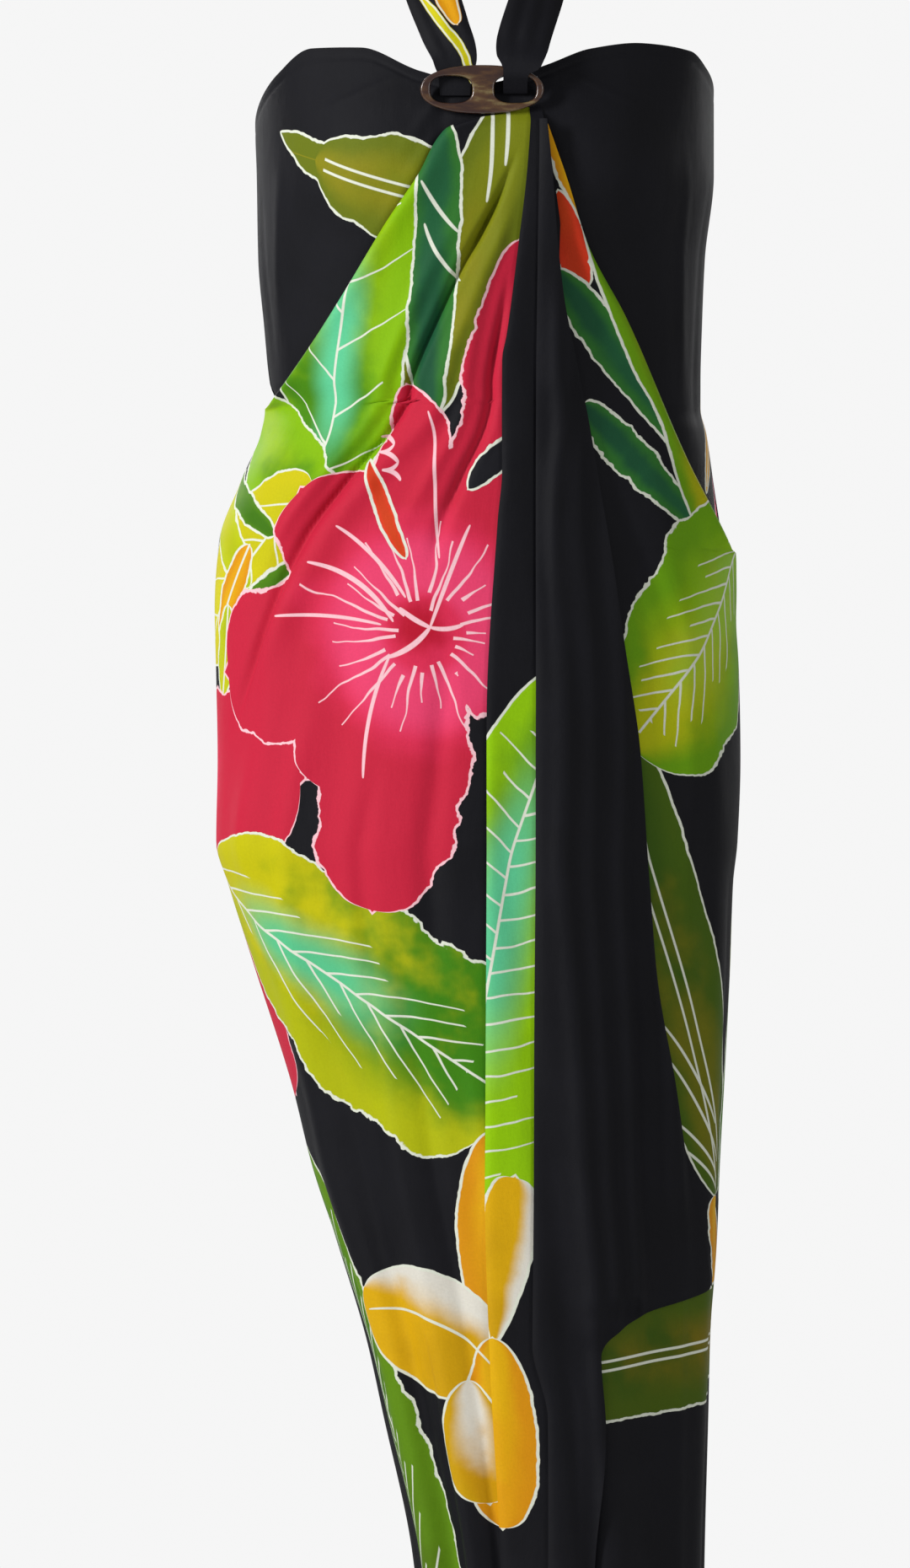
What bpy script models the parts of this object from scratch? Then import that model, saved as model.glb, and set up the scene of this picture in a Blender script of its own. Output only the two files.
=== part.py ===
"""Batik sarong worn as a halter dress: a flat cloth wrapped round the body from the back, with its two
upper corners drawn through a shell buckle and tied behind the neck. Tables are in millimetres.

Heights are drops below the nape, where the knot rests. X is to the viewer's right, and the front faces -Y.
Angles run round the body in degrees: 0 the right side, 90 the front, 180 the left side, 270 the back."""

import math

import bmesh
import bpy
import numpy as np
from mathutils import Vector

for left_over in list(bpy.data.objects):
    bpy.data.objects.remove(left_over)

MM = 0.001
WALL = 1.4          # thickness of every cloth wall
SEAM_GAP = 0.3      # between pieces that meet edge to edge
LAYER_STEP = 3.0    # from the middle of one layer to the middle of the next
MIDDLE_Y = -80.0    # plane that parts the front of the wrap from its back
HEM = 1300.0        # drop of the lower edge
HEM_WAVE = 4.0      # rise and fall of the lower edge at the back
FULLNESS = 0.86     # power that squares the cross-sections a little, where 1 is an ellipse
MEAN_RADIUS = 150.0     # turns an angle round the body into a width in the tables of folds
BLACK = (0.013, 0.013, 0.017)   # the cloth's ground colour, linear
BROWN = (0.09, 0.04, 0.018)     # the buckle's colour, linear

# The wrap's cross-sections: drop, left x, right x, front y, back y
BODY = np.array([
    (165, -153, 157, -188, 17),
    (200, -153, 157, -200, 20),
    (226, -153, 157, -206, 22),
    (260, -152, 157, -208, 24),
    (316, -151, 151, -204, 20),
    (362, -147, 149, -198, 10),
    (401, -143, 148, -193, 2),
    (418, -137, 148, -191, 0),
    (435, -142, 152, -190, 2),
    (469, -162, 157, -192, 14),
    (508, -177, 163, -196, 28),
    (553, -180, 170, -199, 38),
    (598, -179, 174, -200, 44),
    (655, -178, 175, -199, 46),
    (711, -179, 173, -198, 44),
    (739, -171, 170, -197, 42),
    (796, -153, 168, -195, 38),
    (875, -128, 164, -191, 30),
    (931, -114, 161, -188, 24),
    (982, -97, 159, -186, 20),
    (1050, -75, 154, -183, 16),
    (1100, -63, 152, -181, 12),
    (1196, -41, 148, -178, 8),
    (1310, -28, 145, -176, 4),
], float)

# The bust: angle either side of the front's middle, drop, height and half size
BUST = {"off_middle": 32, "drop": 258, "height": 12, "half_size": 48}

# Large folds: drop and angle where one starts, drop and angle where it ends, half width and height at its
# start, the same at its end. A negative height is a trough
FOLDS = np.array([
    (300, 96, 600, 150, 7, -2, 12, -5),
    (420, 128, 760, 150, 12, 2, 20, 5),
    (520, 118, 1000, 134, 12, -2, 20, -5),
    (640, 150, 1310, 150, 14, 3, 17, 9),
    (700, 122, 1310, 126, 12, 2, 15, 8),
    (760, 138, 1310, 138, 12, -2, 13, -6),
    (330, 78, 620, 72, 9, -2, 12, -4),
    (560, 72, 1310, 68, 16, 2, 20, 4),
    (600, 84, 1310, 80, 10, -1, 13, -5),
    (430, 46, 760, 24, 16, 2, 24, 4),
    (520, 54, 1310, 48, 18, -2, 24, -4),
    (700, 24, 1310, 22, 20, 2, 24, 5),
    (430, 200, 1310, 198, 12, 3, 16, 12),
    (480, 219, 1310, 217, 14, 3, 15, 13),
    (400, 240, 1310, 236, 12, 2, 16, 14),
    (470, 259, 1310, 257, 15, 3, 15, 12),
    (420, 279, 1310, 278, 12, 2, 16, 14),
    (500, 300, 1310, 298, 14, 3, 15, 12),
    (410, 322, 1310, 318, 12, 3, 16, 13),
    (480, 343, 1310, 340, 13, 2, 15, 11),
    (250, 262, 400, 258, 10, 1, 12, 3),
    (245, 292, 410, 296, 10, 1, 12, 3),
], float)

# Top edge of the wrap: angle, drop
TOP_EDGE = np.array([
    (0, 204), (16, 190), (27, 180), (48, 177), (63, 182), (75, 194), (88, 206), (92, 207), (106, 198),
    (122, 181), (138, 180), (153, 195), (180, 226), (205, 243), (236, 258), (270, 262), (304, 256),
    (338, 234), (360, 204),
], float)

# Folded edges and free edges seen from the front: drop, x
LEFT_RIDGE = np.array([
    (227, 14), (231, -7), (238, -24), (269, -41), (302, -63), (360, -100), (418, -136),
], float)
RIGHT_RIDGE = np.array([(233, 42), (262, 51), (311, 67), (362, 95), (441, 129), (514, 162)], float)
PLEAT_EDGE = np.array([
    (229, 31), (271, 28), (316, 23), (373, 16), (390, 13), (463, 13), (497, 10), (632, 3), (937, 3),
    (1050, 7), (1196, 16), (1310, 20),
], float)
PANEL_FOLD = np.array([(229, 36), (316, 35), (1044, 34), (1095, 44), (1310, 46)], float)
SELVEDGE = np.array([
    (231, 40), (342, 50), (429, 69), (582, 93), (649, 104), (796, 114), (937, 135), (1010, 146),
    (1030, 98), (1053, 76), (1103, 79), (1196, 74), (1310, 70),
], float)
UNDER_EDGE = np.array([(233, 37), (300, 42), (400, 50), (600, 48), (1000, 32), (1310, 27)], float)

# Where each drape's folded ridge reaches the side seam, drop
LEFT_RIDGE_END = 418.0
RIGHT_RIDGE_END = 514.0

# How far each drape's border stands off the wrap below it: drop, mm
LEFT_BORDER_LIFT = np.array([
    (220, 2.4), (360, 2.8), (400, 5.0), (418, 6.4), (440, 4.6), (480, 0.4), (500, 0), (1310, 0),
], float)
RIGHT_BORDER_LIFT = np.array([
    (220, 2.4), (450, 2.6), (490, 4.6), (512, 5.4), (535, 3.6), (575, 0.3), (600, 0), (1310, 0),
], float)

# Lift of each layer's middle away from its borders, and the height and width of the roll at its folded edge
LEFT_LAYER = {"lift": 4.7, "roll": 3.6, "roll_width": 6.0}
RIGHT_LAYER = {"lift": 2.2, "roll": 3.4, "roll_width": 6.0}
PLEAT_LAYER = {"lift": 7.3, "roll": 1.2, "roll_width": 5.0}
PANEL_LAYER = {"lift": 9.9, "roll": 2.0, "roll_width": 8.0}
BORDER_WIDTH = 60.0     # width over which a drape rises from its border to its layer's lift
TUCK = 1.4              # how far the bodice's lower edge sinks under a drape
UNDERLAP = 12.0         # how far the bodice reaches below a drape's ridge


def along(table, column, at):
    """Smooth curve through one column of a table against its first, which never overshoots its values"""
    xs, ys = table[:, 0], table[:, column]
    step = np.diff(xs)
    slope = np.diff(ys) / step
    same_way = slope[1:] * slope[:-1] > 0
    total = np.where(same_way, slope[1:] + slope[:-1], 1.0)
    middle = np.where(same_way, 2 * slope[1:] * slope[:-1] / total, 0.0)
    tangent = np.concatenate(([slope[0]], middle, [slope[-1]]))
    k = np.clip(np.searchsorted(xs, at) - 1, 0, len(step) - 1)
    f = np.clip((at - xs[k]) / step[k], 0, 1)
    rise = step[k] * (f * (1 - f) ** 2 * tangent[k] - f * f * (1 - f) * tangent[k + 1])
    return ys[k] * (1 + 2 * f) * (1 - f) ** 2 + ys[k + 1] * f * f * (3 - 2 * f) + rise


def ease(share):
    """From 0 to 1 with level ends"""
    share = np.clip(share, 0, 1)
    return share * share * (3 - 2 * share)


def roll(distance, width):
    """A fold's rounded shoulder: 0 on its edge, 1 one width in, fading further in"""
    share = np.maximum(distance, 0) / width
    return share * np.exp(1 - share)


def half_width(drop):
    return (along(BODY, 2, drop) - along(BODY, 1, drop)) / 2


def angle_at(drop, x):
    """The angle, in the front half, at which the wrap passes x"""
    middle = (along(BODY, 1, drop) + along(BODY, 2, drop)) / 2
    return np.degrees(np.arccos(np.clip((x - middle) / half_width(drop), -0.9995, 0.9995)))


def relief(angle, drop):
    """Height of the large folds and of the bust over the plain cross-section"""
    height = np.zeros(np.broadcast(angle, drop).shape)
    for drop_0, angle_0, drop_1, angle_1, width_0, height_0, width_1, height_1 in FOLDS:
        share = (drop - drop_0) / (drop_1 - drop_0)
        way = np.clip(share, 0, 1)
        off = np.radians(angle - (angle_0 + (angle_1 - angle_0) * way)) * MEAN_RADIUS
        width = width_0 + (width_1 - width_0) * way
        ends = ease((drop - drop_0) / 70) * (1 if drop_1 > HEM else ease((drop_1 - drop) / 90))
        height += (height_0 + (height_1 - height_0) * way) * np.exp(-((off / width) ** 2)) * ends
    for side in (90 - BUST["off_middle"], 90 + BUST["off_middle"]):
        across = np.radians(angle - side) * MEAN_RADIUS / BUST["half_size"]
        below = (drop - BUST["drop"]) / BUST["half_size"]
        height += BUST["height"] * np.exp(-(across**2) - below**2)
    return height


def place(angle, drop, lift):
    """Points of a layer that stands lift mm off the wrap"""
    left, right = along(BODY, 1, drop), along(BODY, 2, drop)
    turn = np.radians(angle)
    front = np.sin(turn) >= 0
    depth = np.where(front, MIDDLE_Y - along(BODY, 3, drop), along(BODY, 4, drop) - MIDDLE_Y)
    half = (right - left) / 2
    x = (left + right) / 2 + half * np.cos(turn)
    y = MIDDLE_Y - np.where(front, 1, -1) * depth * np.abs(np.sin(turn)) ** FULLNESS
    normal_x, normal_y = np.cos(turn) / half, -np.sin(turn) / depth
    length = np.hypot(normal_x, normal_y)
    out = lift + relief(angle, drop)
    return np.stack([x + out * normal_x / length, y + out * normal_y / length, -drop], axis=-1)


def border_angle(drop, at_side):
    """Angle of a seam at the left or right side, half the seam gap from the side's own line"""
    depth = MIDDLE_Y - along(BODY, 3, drop)
    gap = np.degrees((SEAM_GAP / 2 / depth) ** (1 / FULLNESS))
    return 180 - gap if at_side == "left" else gap


def collection_for(name):
    made = bpy.data.collections.new(name)
    bpy.context.scene.collection.children.link(made)
    return made


def material_for(name, colour, roughness):
    made = bpy.data.materials.new(name)
    made.use_nodes = True
    shader = made.node_tree.nodes["Principled BSDF"]
    shader.inputs["Base Color"].default_value = (*colour, 1)
    shader.inputs["Roughness"].default_value = roughness
    return made


GARMENT = collection_for("batik_sarong")


def sheet(name, points):
    """A cloth wall from rows of its middle points"""
    rows, columns = points.shape[:2]
    faces = []
    for r in range(rows - 1):
        for c in range(columns - 1):
            a = r * columns + c
            faces.append((a, a + 1, a + columns + 1, a + columns))
    mesh = bpy.data.meshes.new(name)
    mesh.from_pydata((points.reshape(-1, 3) * MM).tolist(), [], faces)
    mesh.polygons.foreach_set("use_smooth", [True] * len(mesh.polygons))
    made = bpy.data.objects.new(name, mesh)
    GARMENT.objects.link(made)
    mesh.materials.append(material_for(name, BLACK, 0.62))
    wall = made.modifiers.new("wall", "SOLIDIFY")
    wall.thickness = WALL * MM
    wall.offset = 0
    return made


def rows_between(start, end, count, also=()):
    return np.array(sorted(set(np.linspace(start, end, count)) | set(map(float, also))))


def drape(name, drops, left_angle, right_angle, columns, lift):
    """A piece of the front made of level rows between its left and right borders.
    lift is given each point's drop and its distance from either border"""
    drop = drops[:, None] * np.ones(columns)
    share = np.linspace(0, 1, columns)
    angle = left_angle[:, None] + (right_angle - left_angle)[:, None] * share
    span = np.radians(left_angle - right_angle)[:, None] * half_width(drops)[:, None]
    from_left, from_right = span * share, span * (1 - share)
    return sheet(name, place(angle, drop, lift(drop, from_left, from_right)))


def left_drape_lift(drop, from_left, from_right):
    border = along(LEFT_BORDER_LIFT, 1, drop)
    shoulder = 1 - ease((drop - 400) / 80)
    plain = border + (LEFT_LAYER["lift"] - border) * ease(from_left / BORDER_WIDTH)
    return plain + LEFT_LAYER["roll"] * shoulder * roll(from_left, LEFT_LAYER["roll_width"])


def right_drape_lift(drop, from_left, from_right):
    border = along(RIGHT_BORDER_LIFT, 1, drop)
    shoulder = (1 - ease((drop - 490) / 80)) * (0.15 + 0.85 * ease((drop - 250) / 60))
    plain = border + (RIGHT_LAYER["lift"] - border) * ease(from_right / BORDER_WIDTH)
    return plain + RIGHT_LAYER["roll"] * shoulder * roll(from_right, RIGHT_LAYER["roll_width"])


def right_drape_under(drop, angle):
    """Lift of the right drape where another piece lies on it"""
    ridge = angle_at(drop, along(RIGHT_RIDGE, 1, np.minimum(drop, RIGHT_RIDGE_END)))
    edge = np.where(drop < RIGHT_RIDGE_END, ridge, 0)
    from_right = np.radians(angle - edge) * half_width(drop)
    return right_drape_lift(drop, from_right, np.maximum(from_right, 0))


def pleat_lift(drop, from_left, from_right):
    top = ease((drop - 240) / 80)
    return PLEAT_LAYER["lift"] + PLEAT_LAYER["roll"] * top * roll(from_left, PLEAT_LAYER["roll_width"])


def panel_lift(drop, from_left, from_right):
    high = PANEL_LAYER["lift"] + PANEL_LAYER["roll"] * roll(from_left, PANEL_LAYER["roll_width"])
    edge = angle_at(drop, along(PANEL_FOLD, 1, drop))
    low = right_drape_under(drop, edge - np.degrees(from_left / half_width(drop))) + LAYER_STEP
    share = ease((from_left - 20) / np.maximum(from_left + from_right - 20, 14))
    return np.maximum(high + (low - high) * share, low)


def make_left_drape():
    drops = rows_between(470, HEM, 21, (
        229, 233, 240, 246, 254, 262, 270, 286, 302, 320, 340, 360,
        378, 392, 402, 410, 415, 418, 426, 440, 455,
    ))
    on_ridge = angle_at(drops, along(LEFT_RIDGE, 1, np.minimum(drops, LEFT_RIDGE_END)))
    left = np.where(drops < LEFT_RIDGE_END, on_ridge, border_angle(drops, "left"))
    right = angle_at(drops, np.interp(drops, (229, 300, 340), (34.5, 35, 39)))
    drape("drape_left", drops, left, right, 20, left_drape_lift)


def make_right_drape():
    drops = rows_between(590, HEM, 18, (
        234, 248, 262, 286, 311, 336, 362, 388, 414, 441, 462, 480, 494, 504, 510, 514, 524, 540, 562,
    ))
    on_ridge = angle_at(drops, along(RIGHT_RIDGE, 1, np.minimum(drops, RIGHT_RIDGE_END)))
    right = np.where(drops < RIGHT_RIDGE_END, on_ridge, border_angle(drops, "right"))
    left = angle_at(drops, along(UNDER_EDGE, 1, drops))
    drape("drape_right", drops, left, right, 16, right_drape_lift)


def make_centre_pleat():
    drops = rows_between(229, HEM, 32)
    left = angle_at(drops, along(PLEAT_EDGE, 1, drops))
    right = angle_at(drops, along(PANEL_FOLD, 1, drops) + np.interp(drops, (229, 300), (3, 14)))
    drape("centre_pleat", drops, left, right, 6, pleat_lift)


def make_front_panel():
    drops = rows_between(231, HEM, 32, (1010, 1020, 1030, 1041, 1053, 1078, 1103))
    left = angle_at(drops, along(PANEL_FOLD, 1, drops))
    right = angle_at(drops, along(SELVEDGE, 1, drops))
    drape("front_panel", drops, left, right, 13, panel_lift)


def make_bodice(name, angles, ridge):
    """A side of the bodice, from its top edge down to just under the drape's folded ridge"""
    drops = np.linspace(ridge[0, 0], ridge[-1, 0], 80)
    ridge_angle = angle_at(drops, along(ridge, 1, drops))
    order = np.argsort(ridge_angle)
    lower = np.interp(angles, ridge_angle[order], drops[order]) + UNDERLAP
    upper = along(TOP_EDGE, 1, angles)
    share = np.linspace(0, 1, 13)[:, None]
    drop = upper + (lower - upper) * share
    angle = angles * np.ones_like(share)
    tucked = -TUCK * ease((share - 0.7) / 0.3)
    sheet(name, place(angle, drop, tucked * np.ones_like(drop)))


def make_back():
    columns = np.linspace(0, 1, 38)
    upper = along(TOP_EDGE, 1, 180 + 180 * columns)
    share = (np.linspace(0, 1, 23) ** 1.15)[:, None]
    drop = upper + (HEM + HEM_WAVE * np.sin(9 * columns) - upper) * share
    left, right = border_angle(drop, "left"), border_angle(drop, "right")
    angle = (360 - left) + (left - right) * columns
    sheet("wrap_back", place(angle, drop, np.zeros_like(drop)))


# The left tie: middle x, y, z, width, and the way its outer side faces. The right one starts differently
LEFT_TIE = np.array([
    (-18, -206.9, -215, 20, 0, -1, 0),
    (-18, -206.9, -203, 22, 0, -1, 0),
    (-18, -206.0, -192, 29, 0, -1, 0),
    (-25, -200, -170, 33, -0.1, -1, 0.1),
    (-33, -191, -147, 35, -0.2, -1, 0.2),
    (-47, -160, -104, 36, -0.6, -0.8, 0.2),
    (-59, -115, -62, 34, -0.95, -0.4, 0.2),
    (-62, -70, -30, 30, -1, 0, 0.2),
    (-49, -24, -9, 24, -0.8, 0.6, 0),
    (-30, 0, -2, 18, -0.4, 0.9, 0),
    (-14.4, 7, 0, 14, -0.1, 1, 0),
], float)
RIGHT_TIE = np.array([
    (22, -207.4, -213.5, 16, 0, -1, 0),
    (22, -211.0, -208, 16, 0, -1, -0.6),
    (22.5, -215.8, -200.5, 17, 0, -1, 0),
    (24.5, -215.2, -193, 30, 0, -1, 0.2),
    (27, -208.5, -180, 35, 0.1, -1, 0.2),
    (37, -191, -147, 35, 0.2, -1, 0.2),
    (49, -160, -104, 36, 0.6, -0.8, 0.2),
    (60, -115, -62, 34, 0.95, -0.4, 0.2),
    (63, -70, -30, 30, 1, 0, 0.2),
    (49, -24, -9, 24, 0.8, 0.6, 0),
    (30, 0, -2, 18, 0.4, 0.9, 0),
    (13.6, 7, 0, 14, 0.1, 1, 0),
], float)
LEFT_TAIL = np.array([
    (-8, 18.0, -4, 13, 0, 1, 0),
    (-13, 23, -24, 20, 0, 1, 0),
    (-18, 24, -55, 27, -0.1, 1, 0),
    (-22, 26, -90, 20, -0.1, 1, 0),
    (-27, 27, -112, 4, -0.1, 1, 0),
], float)
RIGHT_TAIL = np.array([
    (8, 18.6, -4, 13, 0, 1, 0),
    (14, 24, -22, 19, 0.1, 1, 0),
    (22, 26, -48, 25, 0.1, 1, 0),
    (29, 26, -78, 18, 0.1, 1, 0),
    (33, 26, -97, 4, 0.1, 1, 0),
], float)


def band(name, table, rows, columns, cup, flat_for):
    """A flat band along a table of middles, bent a little across its width once past its first flat_for mm"""
    steps = np.concatenate(([0], np.cumsum(np.linalg.norm(np.diff(table[:, :3], axis=0), axis=1))))
    keyed = np.column_stack((steps, table))
    at = np.linspace(0, steps[-1], rows)
    middle = np.column_stack([along(keyed, c, at) for c in (1, 2, 3)])
    width = along(keyed, 4, at)
    facing = np.column_stack([along(keyed, c, at) for c in (5, 6, 7)])
    tangent = np.gradient(middle, axis=0)
    across = np.cross(tangent, facing)
    across /= np.linalg.norm(across, axis=1)[:, None]
    outward = np.cross(across, tangent)
    outward /= np.linalg.norm(outward, axis=1)[:, None]
    share = np.linspace(-1, 1, columns)[None, :, None]
    points = middle[:, None] + across[:, None] * width[:, None, None] / 2 * share
    bend = cup * width / 35 * ease((at - flat_for) / 25)
    points = points + outward[:, None] * (1 - share**2) * bend[:, None, None]
    return sheet(name, points)


KNOT = {"middle_y": 9.5, "half_wide": 13.5, "half_deep": 9.3, "half_high": 13.0, "turn_height": 0.11}


def make_knot():
    """The knot that rests on the nape, a rounded lump with the turns of the bands wound round it"""
    rings, around = 14, 20
    middle = KNOT["middle_y"]
    verts = []
    for r in range(1, rings):
        tilt = math.pi * r / rings
        for a in range(around):
            turn = 2 * math.pi * a / around
            wound = 1 + KNOT["turn_height"] * math.cos(6 * tilt + 2 * turn)
            verts.append((
                KNOT["half_wide"] * wound * math.sin(tilt) * math.cos(turn),
                middle + KNOT["half_deep"] * wound * math.sin(tilt) * math.sin(turn),
                KNOT["half_high"] * wound * math.cos(tilt),
            ))
    top, bottom = len(verts), len(verts) + 1
    verts += [(0, middle, KNOT["half_high"]), (0, middle, -KNOT["half_high"])]
    faces = []
    for a in range(around):
        b = (a + 1) % around
        faces.append((top, a, b))
        last = (rings - 2) * around
        faces.append((bottom, last + b, last + a))
        for r in range(rings - 2):
            faces.append((r * around + a, (r + 1) * around + a, (r + 1) * around + b, r * around + b))
    mesh = bpy.data.meshes.new("nape_knot")
    mesh.from_pydata([(Vector(v) * MM)[:] for v in verts], [], faces)
    tidy = bmesh.new()
    tidy.from_mesh(mesh)
    bmesh.ops.recalc_face_normals(tidy, faces=tidy.faces)
    tidy.to_mesh(mesh)
    tidy.free()
    mesh.polygons.foreach_set("use_smooth", [True] * len(mesh.polygons))
    GARMENT.objects.link(bpy.data.objects.new("nape_knot", mesh))
    mesh.materials.append(material_for("nape_knot", BLACK, 0.62))


BUCKLE = {"y": -210.8, "z": -211.3, "half_long": 41.0, "half_high": 16.2, "thick": 5.0, "rim": 1.5}
BUCKLE_HOLES = ((-20.5, 14.0, 9.0), (22.0, 14.0, 9.0))   # x, half length, half height


def flat_oval(name, x, half_long, half_high, thick, segments, squareness):
    """A round slab facing the front, stretched to an oval with fuller corners, with its size applied"""
    mesh = bpy.data.meshes.new(name)
    shape = bmesh.new()
    bmesh.ops.create_cone(shape, cap_ends=True, segments=segments, radius1=1, radius2=1, depth=1)
    for v in shape.verts:
        px, py, pz = v.co
        px = math.copysign(abs(px) ** squareness, px)
        py = math.copysign(abs(py) ** squareness, py)
        v.co = Vector((x + px * half_long, BUCKLE["y"] - pz * thick, BUCKLE["z"] + py * half_high)) * MM
    bmesh.ops.recalc_face_normals(shape, faces=shape.faces)
    shape.to_mesh(mesh)
    shape.free()
    return bpy.data.objects.new(name, mesh)


def make_buckle():
    """The shell buckle, an oval plate with two holes and rounded rims"""
    cutters = collection_for("cutters")
    half_long, half_high, thick = BUCKLE["half_long"], BUCKLE["half_high"], BUCKLE["thick"]
    plate = flat_oval("shell_buckle", 0, half_long, half_high, thick, 40, 0.9)
    plate.data.materials.append(material_for("shell_buckle", BROWN, 0.3))
    plate.data.polygons.foreach_set("use_smooth", [True] * len(plate.data.polygons))
    GARMENT.objects.link(plate)
    for number, (x, hole_half_long, hole_half_high) in enumerate(BUCKLE_HOLES, 1):
        hole = flat_oval(f"hole_{number}", x, hole_half_long, hole_half_high, thick * 2, 20, 0.72)
        cutters.objects.link(hole)
        hole.hide_render = True
        hole.display_type = "WIRE"
        cut = plate.modifiers.new(f"hole_{number}", "BOOLEAN")
        cut.object = hole
        cut.operation = "DIFFERENCE"
        cut.solver = "EXACT"
    rim = plate.modifiers.new("rounded rims", "BEVEL")
    rim.width = BUCKLE["rim"] * MM
    rim.segments = 2
    rim.limit_method = "ANGLE"
    rim.angle_limit = math.radians(50)
    rim.use_clamp_overlap = True


ARMHOLE = 226.0     # drop of the top edge at the side seams

make_back()
left_columns = np.concatenate(([border_angle(ARMHOLE, "left")], np.linspace(176, 92, 17)))
right_columns = np.concatenate((np.linspace(87, 4, 17), [border_angle(ARMHOLE, "right")]))
make_bodice("bodice_left", left_columns, LEFT_RIDGE)
make_bodice("bodice_right", right_columns, RIGHT_RIDGE)
make_right_drape()
make_left_drape()
make_centre_pleat()
make_front_panel()
band("tie_left", LEFT_TIE, 28, 6, 2.5, 22)
band("tie_right", RIGHT_TIE, 33, 6, 2.5, 26)
band("tail_left", LEFT_TAIL, 12, 5, 1.5, 4)
band("tail_right", RIGHT_TAIL, 12, 5, 1.5, 4)
make_knot()
make_buckle()
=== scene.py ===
"""Looks of the batik sarong: fine cloth with its folds and hand-painted print, the buckle and the light.

Lengths are millimetres unless a name says metres. Heights are drops below the nape, X is to the viewer's
right, and angles run round the body in degrees: 0 right, 90 front, 180 left, 270 back."""

import math

import bmesh
import bpy
import numpy as np
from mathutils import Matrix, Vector


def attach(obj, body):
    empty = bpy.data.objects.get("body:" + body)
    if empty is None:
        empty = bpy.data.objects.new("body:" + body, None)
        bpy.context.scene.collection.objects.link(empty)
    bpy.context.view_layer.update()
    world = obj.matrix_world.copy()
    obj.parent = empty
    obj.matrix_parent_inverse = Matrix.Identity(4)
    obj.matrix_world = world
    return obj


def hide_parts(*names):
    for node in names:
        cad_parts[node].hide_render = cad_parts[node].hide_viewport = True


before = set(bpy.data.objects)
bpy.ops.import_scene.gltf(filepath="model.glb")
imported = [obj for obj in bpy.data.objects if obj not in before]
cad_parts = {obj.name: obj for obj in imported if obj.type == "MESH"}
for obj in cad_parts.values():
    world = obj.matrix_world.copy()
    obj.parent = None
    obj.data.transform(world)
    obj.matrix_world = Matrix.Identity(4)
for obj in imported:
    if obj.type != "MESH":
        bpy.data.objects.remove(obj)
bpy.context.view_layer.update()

# The back of the wrap: rayon a quarter of a millimetre thick, dyed black with painted flowers, and carried
# round the body from one side seam of this model to the other. It hangs in soft upright folds
MM = 0.001
CLOTH = 0.9         # thickness shown, so that an edge catches light
MIDDLE_Y = -80.0    # plane that parts the front of the wrap from its back
HEM = 1300.0        # drop of the lower edge
FLATNESS = 0.86     # power of the sine that gives the depth: below 1 is fuller than an oval
MEAN_RADIUS = 150.0     # of the body, where folds and the bust are measured across
BUST = {"angles": (58, 122), "drop": 258, "height": 12, "reach": 48}
FOLD_START, FOLD_END = 70, 90   # most of a fold's length over which it rises and sinks
SIDE_LIMIT = 0.9995     # share of the half width that angles are worked out for

# Cross-sections: drop, left x, right x, front y, back y
BODY = np.array([
    (165, -153, 157, -188, 17), (200, -153, 157, -200, 20), (226, -153, 157, -206, 22),
    (260, -152, 157, -208, 24), (316, -151, 151, -204, 20), (362, -147, 149, -198, 10),
    (401, -143, 148, -193, 2), (418, -137, 148, -191, 0), (435, -142, 152, -190, 2),
    (469, -162, 157, -192, 14), (508, -177, 163, -196, 28), (553, -180, 170, -199, 38),
    (598, -179, 174, -200, 44), (655, -178, 175, -199, 46), (711, -179, 173, -198, 44),
    (739, -171, 170, -197, 42), (796, -153, 168, -195, 38), (875, -128, 164, -191, 30),
    (931, -114, 161, -188, 24), (982, -97, 159, -186, 20), (1050, -75, 154, -183, 16),
    (1100, -63, 152, -181, 12), (1196, -41, 148, -178, 8), (1310, -28, 145, -176, 4),
], float)

# Large folds: drop and angle at the start, drop and angle at the end, half width and height at the start,
# half width and height at the end
FOLDS = np.array([
    (300, 96, 600, 150, 7, -2, 12, -5), (420, 128, 760, 150, 12, 2, 20, 5),
    (520, 118, 1000, 134, 12, -2, 20, -5), (640, 150, 1310, 150, 14, 3, 17, 9),
    (700, 122, 1310, 126, 12, 2, 15, 8), (760, 138, 1310, 138, 12, -2, 13, -6),
    (330, 78, 620, 72, 9, -2, 12, -4), (560, 72, 1310, 68, 16, 2, 20, 4),
    (600, 84, 1310, 80, 10, -1, 13, -5), (430, 46, 760, 24, 16, 2, 24, 4),
    (520, 54, 1310, 48, 18, -2, 24, -4), (700, 24, 1310, 22, 20, 2, 24, 5),
    (430, 200, 1310, 198, 12, 3, 16, 12), (480, 219, 1310, 217, 14, 3, 15, 13),
    (400, 240, 1310, 236, 12, 2, 16, 14), (470, 259, 1310, 257, 15, 3, 15, 12),
    (420, 279, 1310, 278, 12, 2, 16, 14), (500, 300, 1310, 298, 14, 3, 15, 12),
    (410, 322, 1310, 318, 12, 3, 16, 13), (480, 343, 1310, 340, 13, 2, 15, 11),
    (250, 262, 400, 258, 10, 1, 12, 3), (245, 292, 410, 296, 10, 1, 12, 3),
], float)

# Top edge: angle and drop
TOP_EDGE = np.array([
    (0, 204), (16, 190), (27, 180), (48, 177), (63, 182), (75, 194), (88, 206), (92, 207), (106, 198),
    (122, 181), (138, 180), (153, 195), (180, 226), (205, 243), (236, 258), (270, 262), (304, 256),
    (338, 234), (360, 204),
], float)


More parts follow.
